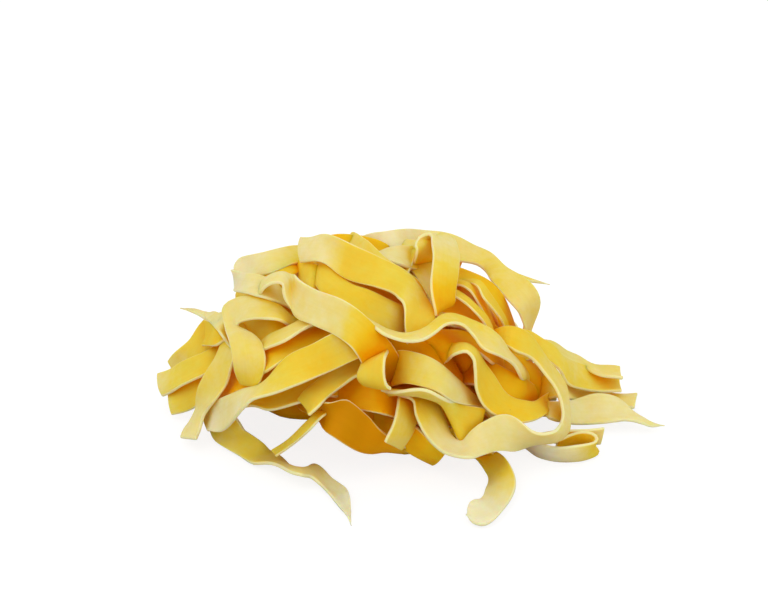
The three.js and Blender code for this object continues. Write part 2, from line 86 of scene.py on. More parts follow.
# Where the sight line through a place in the front view meets the heap, lifted, or the table
def seat(across, up, lift, size=heapHalf):
    ahead = sightAhead * frontView["distance"]
    ray = unit(ahead + sightRight * across + sightUp * (up - frontView["level"]))
    half = size * (1 + lift / heap["layer"])
    o = (eye - heapCentre) / half
    d = ray / half
    a, b = d @ d, d @ o
    root = max(b * b - a * (o @ o - 1), 0.0)
    onHeap = (-b - math.sqrt(root)) / a
    onTable = (max(lift, noodle["thickness"] / 2) - eye[2]) / ray[2]
    point = eye + ray * min(onHeap, onTable)
    return point, facing(point, onTable < onHeap, size)


# How a noodle's rows turn between stations: lying flat on the heap counts, running on smoothly counts more
turning = {"flat": 0.6, "smooth": 2.0}


# A knot holds the middle, the vector from edge to edge, what is up there and the lift
def knotsOf(stations, size=heapHalf, least=noodle["width"]):
    choices = []
    for leftAcross, leftUp, rightAcross, rightUp, lift, *nearer in stations:
        point, up = seat((leftAcross + rightAcross) / 2, (leftUp + rightUp) / 2, lift, size)
        if nearer == ["flat"]:
            span = seat(rightAcross, rightUp, lift, size)[0] - seat(leftAcross, leftUp, lift, size)[0]
            choices.append([np.concatenate([point, span, up, [lift]])])
            continue
        scale = (point - eye) @ sightAhead / frontView["distance"]
        seen = (sightRight * (rightAcross - leftAcross) + sightUp * (rightUp - leftUp)) * scale
        width = min(max(np.linalg.norm(seen), least), noodle["widest"])
        away = math.sqrt(max(width ** 2 - seen @ seen, 0.0))
        pair = [seen + sightAhead * away, seen - sightAhead * away]
        if nearer:
            pair = pair[:1] if nearer[0] == "left" else pair[1:]
        choices.append([np.concatenate([point, unit(v) * width, up, [lift]]) for v in pair])

    def tilt(knot):
        return turning["flat"] * abs(unit(knot[3:6]) @ knot[6:9])

    ways = [(tilt(k), [k]) for k in choices[0]]
    for pair in choices[1:]:
        onward = []
        for k in pair:
            costs = [c + turning["smooth"] * (1 - unit(w[-1][3:6]) @ unit(k[3:6])) for c, w in ways]
            best = costs.index(min(costs))
            onward.append((costs[best] + tilt(k), ways[best][1] + [k]))
        ways = onward
    return min(ways, key=lambda way: way[0])[1]


# Two more knots before the first, diving into the heap
def tucked(knots):
    on = knots[0][:3] - knots[1][:3]
    on[2] = min(on[2], 0.0)
    on = unit(on)
    dives = []
    for reach, dip in [("deepReach", "deepDip"), ("reach", "dip")]:
        dive = knots[0].copy()
        dive[:3] += on * tuck[reach] - dive[6:9] * tuck[dip]
        dive[9] -= tuck[dip]
        dives.append(dive)
    return dives + knots


def withTucks(knots, ends):
    if ends in ("start", "both"):
        knots = tucked(knots)
    if ends in ("end", "both"):
        knots = tucked(knots[::-1])[::-1]
    return knots


# A smooth curve through the knots, evenly spaced rows along it
def rowsOf(knots, rowLength):
    k = np.array(knots)
    k = np.column_stack([k, np.linalg.norm(k[:, 3:6], axis=1)])
    k = np.vstack([2 * k[0] - k[1], k, 2 * k[-1] - k[-2]])
    fine = []
    for p0, p1, p2, p3 in zip(k, k[1:], k[2:], k[3:]):
        for t in np.arange(0, 1, 1 / noodle["curveSteps"]):
            v0, v1 = (p2 - p0) / 2, (p3 - p1) / 2
            cubic = (2 * p1 - 2 * p2 + v0 + v1) * t ** 3
            fine.append(cubic + (3 * p2 - 3 * p1 - 2 * v0 - v1) * t ** 2 + v0 * t + p1)
    fine = np.array(fine + [k[-2]])
    gone = np.concatenate([[0], np.cumsum(np.linalg.norm(np.diff(fine[:, :3], axis=0), axis=1))])
    count = max(noodle["fewestRows"], round(gone[-1] / rowLength))
    at = np.linspace(0, gone[-1], count + 1)
    return at, np.column_stack([np.interp(at, gone, fine[:, c]) for c in range(fine.shape[1])])


def makeNoodle(name, knots, flour, rowLength=noodle["rowLength"]):
    at, rows = rowsOf(knots, rowLength)
    made = {"name": name, "at": at, "middle": rows[:, :3], "span": unit(rows[:, 3:6])}
    made.update(lift=rows[:, 9], width=rows[:, 10], flour=flour)
    return faceRows(made)


# Ends torn to a point or cut round, over some length
def shapeEnds(made, ends):
    for end, (kind, length) in ends.items():
        left = made["at"] if end == "start" else made["at"][-1] - made["at"]
        part = np.clip(left / length, 0, 1)
        narrow = np.sqrt(1 - (1 - part) ** 2) if kind == "round" else part ** noodle["pointTaper"]
        made["width"] = made["width"] * np.maximum(narrow, noodle["leastEnd"])
    return made


# The way each row's face looks
def faceRows(made):
    along = unit(np.gradient(made["middle"], axis=0))
    made["flat"] = unit(np.cross(along, made["span"]))
    return made


# Noodles of the crown, as seen from the front. A station gives the left edge across and up, the right edge
# across and up, and the lift over the heap. A sixth item says which edge is nearer, or flat where both lie
# on the table. The list of paleness gives how pale the noodle is from its start to its end: partly flour
# dust, partly painted light and shade, and below nought a painted deep shade.
crownNoodles = {
    "crownBand": {"tuck": "end", "flour": [0.8, 0.75, 0.42, 0.45, 0.52, 0.4, 0.1], "stations": [
        [-21, 39.5, -21, 33, 2], [-14.75, 39.75, -14.75, 32.5, 4], [-8.5, 37.5, -9, 28.75, 5],
        [-1, 34.25, -2.25, 26.5, 5], [5.75, 31.25, 3, 25, 4], [10.75, 23.25, 5, 22.75, 3],
        [12.75, 18.5, 5.25, 15.75, 1]]},
    "crownCurl": {"tuck": "both", "flour": [0.6, 0.45, 0.3], "stations": [
        [-21, 33.5, -20.5, 27.5, 0], [-18, 33, -18.5, 26.5, 0.8], [-15.5, 31.5, -16.5, 25, 0]]},
    "crownUnder": {"tuck": "both", "flour": [0.5, 0.45, 0.4, 0.38, 0.6, 1.0, 0.8], "stations": [
        [-16, 33.5, -17, 27, 0.5], [-13, 31.5, -15.5, 25, 1.5], [-8, 27.25, -10.75, 22.5, 2],
        [-1.5, 24.5, -4.5, 18.25, 2.5], [4.5, 22.5, 0.5, 15.75, 1.5], [6.25, 20.5, 4.5, 14, -2]]},
    "crownStrip": {"tuck": "both", "flour": [0.4, 0.6, 0.3], "stations": [
        [-7, 40, -10.5, 34.5, -1], [-4.5, 38.5, -7, 33, 2], [0, 35, -2.75, 28.75, 3],
        [4.5, 31.5, 2, 26.5, 2]]},
    "crownBack": {"tuck": "both", "flour": [0.2, 0.2], "stations": [
        [-16.5, 39, -16.5, 33, -2], [-11, 40, -10.5, 34, -1], [-5.5, 39.5, -4.5, 33, -1],
        [0, 37, 0.5, 31, -2]]},
    "crownStrap": {"tuck": "none", "stations": [
        [12.5, 20, 17, 22.25, 2], [12.25, 21.75, 17.75, 23.25, 3.5], [11.75, 25, 18, 24.5, 5],
        [12, 29.75, 18.75, 29.25, 6], [12, 35.5, 19, 34.5, 5.5], [11.75, 39.5, 17.5, 38.5, 4.5],
        [8.75, 38.25, 14, 39.5, 3.5], [7.75, 35.5, 13, 34.5, 2.8], [7, 33, 12, 32, 0],
        [5, 31.5, 9.5, 30, -4]],
        "flour": [0.1, 0.15, 0.45, 0.6, 0.66, 0.7, 0.6, 0.5, 0.4, 0.3]},
    "crownPatch": {"tuck": "start", "flour": [0.6, 0.75, 0.7, 0.3, 0.2], "stations": [
        [-0.5, 36, 0.5, 33, 1], [3, 36.75, 4.5, 32, 1.5], [6.5, 37, 7.5, 31.25, 0.5], [10, 37, 11, 31, -1],
        [13.5, 36.5, 14, 31, -2.5]]},
    "crownDeep": {"tuck": "both", "flour": [0.1, 0.05, 0.05, 0.05], "stations": [
        [-12, 29.5, -13, 24.5, 0], [-5, 27.5, -6.5, 22, 0.6], [2, 25.5, 0.5, 19.5, 0.3], [8, 23, 6, 17, -1]]},
    "backArch": {"tuck": "both", "flour": [0.85, 0.85, 0.75, 0.55, 0.55, 0.68, 0.55], "stations": [
        [-4.5, 40, -0.5, 33, -3], [1, 41, 3, 34, -2], [7, 41.5, 7, 34.25, -2], [14, 40.25, 12, 33.5, -2],
        [21.5, 37.75, 19, 32.75, -1], [26, 36, 24, 32, 0], [30.25, 32.5, 26.75, 28.25, 1],
        [34.25, 29.5, 30, 24.75, 2], [38, 25.75, 32.75, 21.5, 3], [39, 22, 33.75, 19.25, 2],
        [37, 16.25, 34.25, 16, -1]]},
    "archTail": {"tuck": "none", "ends": {"end": ("point", 16.0)}, "flour": [0.5, 0.7], "stations": [
        [29.5, 31.5, 29.5, 30.25, -2], [32.5, 30.5, 32.5, 29.25, -1.5], [36.5, 29, 36.5, 28.25, 0],
        [41.25, 27.75, 41.25, 27, 1]]},
    "archInner": {"tuck": "both", "flour": [0.25, 0.25, 0.2, 0.15], "stations": [
        [17, 31.5, 16.5, 28, -3], [21.5, 30.5, 20.5, 26.5, -1], [26, 28.25, 23.75, 23.5, 0],
        [29.75, 24.25, 26.75, 19.5, 0], [33.25, 18, 29, 15.5, -2]]},
    "archDeep": {"tuck": "both", "flour": [0.2, 0.3, 0.2], "stations": [
        [17, 27.5, 16, 23.5, -4], [21.5, 26.5, 19.75, 22.5, -2], [25.25, 23.5, 22.75, 19.75, -1],
        [28.25, 19.75, 25.5, 16.75, -2]]},
    "archLow": {"tuck": "both", "flour": [0.1, 0.15, 0.1], "stations": [
        [15, 24.5, 14, 20, -3], [19.5, 23.5, 18, 19, -1], [23.5, 20.75, 21.5, 17, 0],
        [27.5, 17, 25, 14, -1]]},
    "archPale": {"tuck": "both", "width": 4.0, "flour": [0.3, 0.42, 0.36, 0.2], "stations": [
        [23.5, 28.25, 23, 27, 0.6], [26, 25.75, 24.75, 24.25, 1.8], [28.5, 22.25, 27.25, 21, 1.6],
        [30.25, 18.5, 29.25, 17.5, 0]]},
    "archSlip": {"tuck": "both", "width": 4.0, "flour": [0.3, 0.35, 0.4, 0.3], "stations": [
        [18.5, 28.75, 18, 27.25, -1], [22, 27.5, 21, 26, 0], [24.5, 24.75, 23.25, 23.25, 0.8],
        [26.75, 20.5, 25.5, 19.25, 0.4]]},
    "archThread": {"tuck": "both", "width": 4.0, "flour": [0.3, 0.42, 0.42, 0.25], "stations": [
        [17, 26.25, 16.5, 24.75, -0.5], [20.75, 24.5, 19.75, 23, 1], [23.75, 21.5, 22.5, 20.25, 1.5],
        [26.5, 18.25, 25.25, 17, 1]]},
}

# Noodles of the left shoulder, with the long one that trails out over the table
shoulderNoodles = {
    "shoulderTop": {"tuck": "both", "flour": [0.3, 0.5, 0.75, 0.85, 0.8, 0.7, 0.5], "stations": [
        [-20.5, 37, -21, 32.75, 0], [-26.5, 36.25, -26, 31, 1.5], [-31.75, 35.25, -30.75, 29.5, 2],
        [-35.75, 33.5, -34.75, 28.5, 2.5], [-37.75, 31.25, -36.75, 26.25, 3.2], [-36, 30.5, -35.5, 25.25, 4],
        [-32.5, 29.75, -32.5, 24.75, 4], [-29, 28.5, -29, 24, 2.5]]},
    "shoulderUnder": {"tuck": "both", "flour": [0.3, 0.35, 0.4, 0.5], "stations": [
        [-20, 34.5, -20, 30.5, -1], [-25, 33, -24.5, 28.5, 1], [-29.5, 31, -28, 26.5, 1],
        [-34.5, 28.5, -33.5, 23.5, 0]]},
    "loopInside": {"tuck": "both", "flour": [0.3, 0.1, 0.05], "stations": [
        [-30.5, 27, -31.5, 23, 0], [-27, 28, -27.5, 21, 1], [-23.5, 28, -23.5, 19.5, 0.5],
        [-20, 26, -20, 18.5, -1]]},
    "mainBand": {"tuck": "both", "stations": [
        [-31.5, 22.5, -29.5, 22.5, 0], [-32, 25.75, -30.5, 24.75, 3], [-30.25, 28.25, -29.25, 26.75, 5],
        [-27.75, 30.25, -27, 28, 6], [-25.25, 31, -24.75, 27.5, 6.5], [-23.25, 30, -24, 23.5, 6.5],
        [-21, 28.5, -21.75, 19.5, 6.75], [-17, 26, -18, 17.5, 7], [-9.75, 23.5, -12.75, 14.75, 7],
        [-4, 19, -8.5, 12, 6.5], [1, 13.5, -6.25, 9.25, 4], [3.5, 9.5, -4.5, 6, 1]],
        # Paleness falls below nought at the right end: painted deep shade where the band runs down into the
        # hollow
        "flour": [0.4, 0.5, 0.65, 0.7, 0.75, 0.75, 0.72, 0.62, 0.25, -0.2, -0.45, -0.45]},
    "shoulder": {"tuck": "start", "stations": [
        [-23, 19.5, -24, 17.5, 1], [-27, 22.25, -27, 18.75, 2], [-31.25, 24.75, -31.5, 19, 3],
        [-36, 24.25, -35, 18, 3.5], [-39.5, 22.25, -36, 17, 4], [-40.25, 18.5, -34.5, 15.75, 5],
        [-39, 14.5, -31, 13.5, 5.5], [-38, 10, -30, 10, 5.5], [-37.5, 5.75, -29.75, 6, 4.8],
        [-36.5, 2.5, -31, 2.25, 4]],
        "flour": [0.3, 0.45, 0.5, 0.6, 0.65, 0.7, 0.72, 0.66, 0.58, 0.45]},
    "shoulderInner": {"tuck": "both", "flour": [0.55, 0.5], "stations": [
        [-37, 19, -33.5, 12.5, 0.5], [-30.5, 19.5, -29, 12, 1.5], [-23.5, 19.5, -24, 13, 1]]},
    "midPale": {"tuck": "both", "flour": [0.4, 0.6, 0.65, 0.6], "stations": [
        [-31, 13, -30.5, 10.5, 2], [-26, 15.75, -25.25, 13.25, 3.4], [-21, 18.25, -20.25, 16, 3.6],
        [-16, 19.75, -15.5, 17.25, 2.5]]},
    "midBand": {"tuck": "both", "flour": [0.4, 0.45, 0.4, 0.35], "stations": [
        [-33.5, 9, -32.5, 4, 1], [-29.5, 11.75, -28.5, 6, 2.6], [-24.5, 14.25, -23.5, 8.75, 3.2],
        [-19, 16.5, -17.5, 11.25, 3.2], [-13.5, 18, -12, 13, 1.8]]},
    "lowerBand": {"tuck": "start", "flour": [0.7, 0.55, 0.42, 0.5, 0.72, 0.8, 0.85], "stations": [
        [-12.5, 15.5, -5.5, 9, 3], [-18.5, 12.25, -13.5, 5.5, 5], [-23.5, 9.5, -19.5, 3.25, 6],
        [-27.75, 6.25, -24.75, 1.75, 6], [-31.25, 2, -32, -0.75, 5.5], [-35.5, 0.75, -34.25, -3.5, 5],
        [-39.5, -0.5, -37, -6.5, 4.5], [-43, -2.75, -40.5, -9, 3.5], [-45.25, -5.5, -43.5, -9, 1.5]]},
    "longTail": {"tuck": "none", "ends": {"end": ("point", 9.0)}, "stations": [
        [-40.5, -2.5, -44, -5, 0.6], [-37, -6.5, -43.5, -9, 0.9, "flat"],
        [-34, -10, -40.5, -13.5, 0.9, "flat"],
        [-30.5, -13.25, -35.25, -17, 1, "flat"], [-27.5, -15.4, -29, -17.4, 2],
        [-23.1, -18.2, -23.5, -18.7, 3.5],
        [-20.5, -18.75, -20.5, -19.2, 4], [-17.5, -18, -17.75, -20.25, 2.5],
        [-13.5, -21, -15.5, -23.5, 1.2, "flat"],
        [-9.5, -23.75, -12.75, -26.5, 1, "flat"], [-8, -28, -10.25, -30, 0.9, "flat"],
        [-8, -32.5, -8.5, -33, 0.8]],
        "flour": [0.5, 0.55, 0.55, 0.6, 0.65, 0.8, 0.95, 0.95]},
    "underBand": {"tuck": "start", "flour": [0.3, 0.4, 0.45, 0.5], "stations": [
        [-4.5, 9.5, -6, 5, 1], [-10, 7.5, -10, 2.5, 2.5], [-15.5, 4.5, -14, -0.5, 3],
        [-19.5, 1, -16.5, -3.5, 3.5], [-21, -1.5, -18, -5.25, 3]]},
    "straightEnd": {"tuck": "start", "width": 4.0, "flour": [0.4, 0.45, 0.5], "stations": [
        [-15.5, -3.75, -14.5, -5, 0.5], [-19.5, -7.25, -18.25, -8.5, 2.5],
        [-23.5, -10.75, -22, -11.75, 3.5], [-27.75, -14.25, -26.5, -15.5, 4]]},
    "lowShade": {"tuck": "both", "flour": [0.45, 0.35, 0.2], "stations": [
        [-33, -0.5, -32, -3, 2], [-28, 1.5, -28, -3.75, 2], [-22, 3, -21.5, -2.5, 1.5],
        [-16.5, 5, -15.5, -0.5, 0]]},
}

# Noodle ends that fan out to the left
leftNoodles = {
    "leftEndHigh": {"tuck": "start", "flour": [0.4, 0.42, 0.46, 0.6], "stations": [
        [-39.5, 20.5, -37, 14.5, -1], [-45.5, 18.25, -42.5, 12, 1], [-49.5, 13, -45, 8.5, 2],
        [-54, 8.25, -50.5, 2.25, 2]]},
    "leftEndFold": {"tuck": "start", "flour": [0.3, 0.3], "stations": [
        [-39, 19, -38.5, 13.5, 2], [-42, 18, -42, 12, 3], [-44.5, 18.5, -44.5, 12, 2]]},
    "leftEndMid": {"tuck": "start", "flour": [0.4, 0.42, 0.46, 0.65], "stations": [
        [-36, 14.5, -36, 8, 0], [-42.5, 12, -42.5, 6, 2], [-49.5, 8, -48.5, 2.5, 4],
        [-56.75, 5, -55.5, 0, 6]]},
    "leftEndLow": {"tuck": "start", "flour": [0.35, 0.35, 0.4, 0.55], "stations": [
        [-38.5, 8, -39, 1.5, 0], [-45, 6, -44.5, -1.5, 2], [-50, 4.25, -48.5, -3.75, 4],
        [-54, 2, -53, -5, 4.6]]},
    "leftLeg": {"tuck": "start", "flour": [0.45, 0.55, 0.6, 0.6, 0.65, 0.75], "stations": [
        [-39, 15, -36, 11.5, 2], [-42.5, 9, -37.75, 7, 3.5], [-45.25, 4, -38.75, 2.5, 4.5],
        [-46.75, -0.75, -41.75, -1.5, 5], [-48.25, -5.25, -45.25, -4.75, 5], [-50, -8.5, -46.25, -8.5, 4],
        [-51, -11, -46.5, -11, 3.5]]},
    "leftDeep": {"tuck": "both", "flour": [0.2, 0.1, 0.1], "stations": [
        [-45, 3, -44, -2, 0], [-40, 5.5, -39, -0.5, 1], [-35, 7, -34, 1, 1], [-30, 7.5, -29.5, 2, 0]]},
    "leftWisp": {"tuck": "end", "ends": {"start": ("point", 12.0)}, "flour": [0.8, 0.7, 0.4], "stations": [
        [-50.75, 21.75, -50.75, 21, 0], [-46, 20.75, -46, 20, 1], [-43, 20.5, -43.75, 18.25, 2],
        [-39.5, 19.5, -41, 15.5, 3], [-36, 17, -39, 12, 2]]},
}

# Noodles of the middle, from the crossing in the hollow to the big loop on the right
middleNoodles = {
    "sCurve": {"tuck": "both", "flour": [0.6, 0.65, 0.65, 0.6, 0.5, 0.6, 0.65, 0.55, 0.4], "stations": [
        [-9, 22.5, -9, 20.5, 2], [-3.5, 18.25, -3.25, 17, 3.5], [0.25, 15.75, 0.25, 14.5, 5],
        [4.5, 15.25, 4.75, 13.5, 6.5], [8.5, 16, 9, 14.1, 7.5], [12, 17.75, 12.4, 15.8, 7.5],
        [15.5, 19.5, 15.5, 17.3, 7],
        [19.5, 19.25, 19.1, 16.9, 6.5], [23.5, 17.75, 22.2, 14.2, 6], [27, 15.5, 24.6, 11.5, 5],
        [31, 11.75, 28.75, 9.5, 3.5], [34, 8.25, 32.75, 7, 2], [36.25, 4, 35.25, 2.75, 0]]},
    "midDeep": {"tuck": "both", "flour": [0.1, 0.16, 0.16, 0.1], "stations": [
        [9, 14.5, 14, 7, -0.5], [14, 16, 17.5, 10.5, 1.5], [20.5, 15.25, 22.5, 10.5, 1.5],
        [27, 12.5, 27.5, 8, 0]]},
    # Paleness below nought here is painted deep shade in the hollow
    "midDeepLow": {"tuck": "both", "flour": [-0.2, -0.1], "stations": [
        [0.5, 15, 3, 9.5, -1], [6, 14.5, 9, 9, 0], [12, 11.5, 14, 5.5, 0], [17, 8, 19, 1.5, -1]]},
    "eyeSide": {"tuck": "start", "flour": [0.3, 0.45, 0.55, 0.5, 0.4], "stations": [
        [-5.5, 8.25, 0.5, 9.75, 3, "right"], [-6.25, 6.25, 0.1, 7.6, 4.2, "right"],
        [-6.6, 4.35, 0.1, 4.6, 4.6, "right"], [-5.75, 3, 0.6, 2.45, 4.2, "right"],
        [-4, 2, 1.5, 1.5, 3, "right"]]},
    "eyeBand": {"tuck": "both", "flour": [0.3, 0.45, 0.57, 0.65, 0.64, 0.5], "stations": [
        [0.5, 8, 1.5, 2, -3], [4, 10.75, 5.25, 2.75, 2.5], [10, 9.75, 10, 1.5, 6], [15.5, 7, 14.5, 0, 7],
        [19.5, 3.25, 17.5, -1.5, 6.5], [22.75, -1, 20.75, -2.5, 5.5], [26.5, -5.5, 25.5, -4.5, 3]]},
    "swoop": {"tuck": "both", "flour": [0.5, 0.5, 0.45, 0.35, 0.35, 0.35, 0.35, 0.4], "stations": [
        [14, 9.5, 15.5, 8, -1], [16.5, 11.75, 17.5, 10, 2], [20, 12.75, 20.5, 11, 4],
        [23.25, 11.25, 22.5, 9, 5], [25, 7.5, 22.5, 6, 5.5], [27, 4.25, 22.5, 1, 5.5],
        [30, 1, 25, -3.5, 5], [34, -1.5, 31.25, -6.5, 4.5], [37.5, -2, 37, -6.5, 3.5],
        [40.5, -0.25, 41.25, -4, 1.5]]},
    "swoopInside": {"tuck": "both", "flour": [0.05, 0.1], "stations": [
        [15, 12, 19.5, 5.5, -2], [18, 11, 21.5, 4, -1.5], [22, 10.5, 24.5, 3.5, -2]]},
    "rightLoop": {"tuck": "both", "stations": [
        [25.5, 15, 27.5, 11, -1], [29.75, 16.75, 30.25, 12, 2.5], [33.75, 16.5, 32.75, 10.5, 4],
        [37.5, 14.5, 36.25, 9.5, 5], [40.4, 10.5, 38.5, 8, 6], [42.9, 6, 40.5, 4.8, 7],
        [45, 2, 42.25, 1.25, 8], [46.25, -2, 43.5, -2.4, 9], [46.75, -5.75, 44.25, -5.5, 9],
        [46, -9.5, 43.75, -8, 8], [43, -12.25, 41.75, -9.5, 7], [37.5, -13.5, 37, -9.25, 6],
        [29.75, -14, 30, -5.25, 5.5], [24.75, -15.25, 24, -7.5, 6.5], [19.75, -16.25, 20, -12.5, 7, "left"],
        [15, -14.75, 17, -10.5, 5, "left"], [11.25, -10.25, 15.5, -6, 3.5, "left"],
        [8, -5, 12.5, -1, 3, "left"],
        [7, -1.5, 10, 1, 2, "left"]],
        "flour": [0.25, 0.25, 0.3, 0.42, 0.56, 0.62, 0.66, 0.68, 0.7, 0.75, 0.8, 0.8, 0.6, 0.25, 0.1, 0.3]},
    "loopFlap": {"tuck": "start", "flour": [0.7, 0.6, 0.55, 0.45, 0.4], "stations": [
        [10.5, 0.5, 10, -1, 4.5], [14.25, -0.75, 14.5, -2.75, 5.8], [16.75, -1.75, 16.75, -7.5, 6.2],
        [19.25, -2.5, 19.25, -12, 6], [24.75, -3.75, 23.75, -12.75, 5]]},
    "loopFloor": {"tuck": "both", "flour": [0.1, 0.15, 0.2, 0.1], "stations": [
        [26, 8, 22.5, 2.5, -0.5], [31, 6, 28, -1, 0.5], [36.5, 3.5, 34, -3, 0.5], [41, -0.5, 39, -5, -0.5]]},
    "loopDeep": {"tuck": "both", "flour": [0.1, 0.2, 0.1], "stations": [
        [30, 10.5, 29, 5.5, -2], [34, 9.5, 33, 4, -1], [38.5, 7, 37, 0.5, 0], [40.5, 2.5, 39, -2.5, 0]]},
}

# Noodle ends that fan out to the right, and the curled one on the table there
rightNoodles = {
    "rightFanHigh": {"tuck": "start", "flour": [0.4, 0.5, 0.65, 0.65], "stations": [
        [41, 13.5, 44, 8.5, 0], [45.5, 10.75, 47.5, 7.5, 2], [49, 9.5, 50.5, 6.5, 4],
        [53.25, 6.75, 54.5, 4.5, 7], [59, 6, 59, 3.5, 7]]},
    "rightFan": {"tuck": "start", "flour": [0.4, 0.45, 0.5, 0.5, 0.5, 0.55], "stations": [
        [35.5, 16, 39, 9, 0], [40.5, 13.25, 43, 6.5, 2], [44.5, 10.5, 46, 3, 3], [48.5, 7.5, 49.5, 1.5, 4],
        [54, 5, 54, 0.25, 5], [58.75, 4.5, 58.75, 0.5, 5]]},
    "rightFanLow": {"tuck": "start", "flour": [0.5, 0.55, 0.6, 0.7], "stations": [
        [43, 4.5, 44, -0.5, 2], [49, 1.75, 49, -2, 3], [55.5, 0.75, 55, -2.5, 3], [63.5, 0, 62, -2.75, 3]]},
    "rightFlat": {"tuck": "start", "ends": {"end": ("point", 12.0)}, "stations": [
        [37, -2.5, 37.5, -5, 1], [42, -2.25, 41.5, -6, 2.5], [47, -1.75, 46.5, -7, 4],
        [54, -0.5, 54, -7.5, 4.5], [60, -1.75, 59.25, -7, 4], [64.5, -5.25, 64, -7, 3],
        [67.5, -6.75, 66.75, -8.25, 2], [70, -7.5, 69.75, -8.25, 1.5]],
        "flour": [0.7, 0.7, 0.72, 0.75, 0.78, 0.8, 0.8]},
    "rightCurl": {"tuck": "start", "width": 5.5, "stations": [
        [35.5, -11.25, 35.2, -14, 2.8, "left"], [39.5, -12.5, 39.1, -16, 3, "left"],
        [44.5, -13.25, 44.3, -17.25, 3.1, "left"], [49, -13, 49.4, -17, 3.1, "left"],
        [52.2, -11.75, 53, -15.25, 3.1, "left"], [51.9, -10.5, 52.5, -14, 3.1, "left"],
        [49.5, -9.75, 49.9, -13.6, 3.1, "left"], [46.5, -9.9, 46.4, -13.7, 3.1, "left"],
        [43.5, -11, 43.2, -14.2, 3.1, "left"]],
        "flour": [0.8, 0.95, 0.95, 0.95, 0.8, 0.4, 0.3, 0.25]},
    "rightCurlFar": {"tuck": "start", "width": 5.2, "flour": [0.6, 0.6, 0.65, 0.7], "stations": [
        [41, -9.5, 41.5, -12.5, 3, "left"], [46, -9.25, 46.5, -12.75, 3, "left"],
        [50.5, -8.75, 50.5, -12.5, 3, "left"], [54.75, -8.25, 54, -12.75, 3, "left"]]},
}

# Noodles low down in front: the leaf shape, the short tabs and the curl that lies out on the table
frontNoodles = {
    # The leaf's paleness below nought is painted deep shade, where it lies in the shadow of the heap
    "frontLeaf": {"tuck": "both", "flour": [-0.1, -0.24, -0.2, 0.1, 0.35], "stations": [
        [-13.5, -2, -16.5, -6, 0.5], [-8.5, -2, -13.5, -10, 2], [-4.5, -5, -9, -13.25, 3],
        [-0.75, -8.75, -4, -15.25, 3], [3.5, -13, 1.5, -15.25, 2]]},
    "frontTab": {"tuck": "start", "flour": [0.4, 0.5, 0.55, 0.6], "stations": [
        [3.5, -2, 8.5, -5, 1], [2.5, -6.5, 8, -8, 3], [1.5, -9.25, 7, -10.75, 3.5],
        [0.25, -11.5, 4.5, -14, 3]]},
    "frontFlap": {"tuck": "start", "flour": [0.1, 0.1, 0.15], "stations": [
        [6.5, -7.5, 2.5, -12.5, 0], [10, -9.75, 6, -14.75, 2], [12.5, -12.25, 9, -16.5, 2.5],
        [15, -14.75, 12, -18.25, 2]]},
    "frontDeep": {"tuck": "both", "flour": [0.05, 0.1], "stations": [
        [3, 0.5, 4, -5.5, -2], [7, 0, 7.5, -6.5, -1], [11, -1, 10, -7.5, -1]]},
    "frontHollow": {"tuck": "end", "flour": [0.1, 0.05], "stations": [
        [-18.5, 1, -16, -5.5, -2], [-13, 3.5, -11.5, -4, -1], [-7, 4, -6.5, -4, -1],
        [0, 3, 0.5, -5, -1.5], [6, 0.5, 6, -7, -2.5]]},
    "frontCurl": {"tuck": "start", "ends": {"end": ("round", 4.1)}, "stations": [
        [18, -10, 24.5, -8.75, 2], [19.5, -13.5, 26, -12.25, 2], [21.5, -16.5, 28, -15.25, 1.5],
        [24.25, -19, 30.5, -17.5, 1.2], [26, -22.25, 32.25, -21.75, 1], [25.5, -24.75, 31.75, -25.75, 1.2],
        [24.25, -26.25, 29.25, -29.75, 1.8], [22.75, -26.75, 25.75, -32.5, 2.2],
        [20, -27.25, 21.5, -33.25, 2.3]],
        "flour": [0.2, 0.22, 0.25, 0.35, 0.6, 0.9, 0.95]},
}

# All that show from the front, by piece
shownGroups = {
    "crownNoodles": crownNoodles, "shoulderNoodles": shoulderNoodles, "leftNoodles": leftNoodles,
    "middleNoodles": middleNoodles, "rightNoodles": rightNoodles, "frontNoodles": frontNoodles,
}
everyShown = {name: shown for group in shownGroups.values() for name, shown in group.items()}

# The back is heaped like the front, mirrored, on a smaller heap: narrower and lower, with the noodles closer
# to it. Two more lie at its foot. Drapes lie over the crown and hang down the back from there, and short
# ones hang between them. Angles in degrees.
backHeap = {"halfLength": 40.0, "halfDepth": 41.0, "height": 40.0, "narrower": 0.8, "lower": 0.92,
            "flatter": 0.5, "sunk": 2.0, "paler": 0.12}
backOnes = [
    "crownUnder", "archInner", "archDeep", "archLow", "shoulderTop", "shoulderUnder", "mainBand", "shoulder",
    "shoulderInner", "midPale", "midBand", "lowerBand", "underBand", "lowShade", "leftEndLow", "leftLeg",
    "leftDeep", "sCurve", "midDeep", "midDeepLow", "eyeSide", "eyeBand", "swoop", "swoopInside", "rightLoop",
    "loopFlap", "loopFloor", "loopDeep", "rightFan", "rightFanLow", "frontLeaf", "frontTab", "frontFlap",
    "frontDeep", "frontHollow",
]
footNoodles = {
    "footBand": {"tuck": "both", "flour": [0.35, 0.45, 0.55, 0.6, 0.45], "stations": [
        [-44, -3, -43, -9.5, 1], [-36, -6, -34.5, -12.5, 3], [-27, -8, -26, -15, 4.5],
        [-18, -9, -17, -15.5, 5], [-9, -8.5, -9, -14.5, 3]]},
    "footTail": {"tuck": "start", "flour": [0.3, 0.5, 0.6, 0.7], "stations": [
        [-16, -2, -21, -6.5, 2], [-20.5, -7.5, -26, -11.5, 5], [-26.5, -13, -31.5, -16, 6],
        [-33, -17, -36.5, -20, 4]]},
}
drapes = {
    "count": 7, "bearing": (-160, -20), "height": (62, 76), "heading": (55, 125), "length": (46, 74),
    "bend": (-1.15, 1.15), "lift": -1.0, "sway": 1.2, "roll": 24, "tuck": "start", "rank": 1.0, "lower": 1.0,
}
hangingFlour = {"least": 0.3, "spread": 0.5, "perNoodle": 0.618, "perPlace": 0.21, "places": 5}
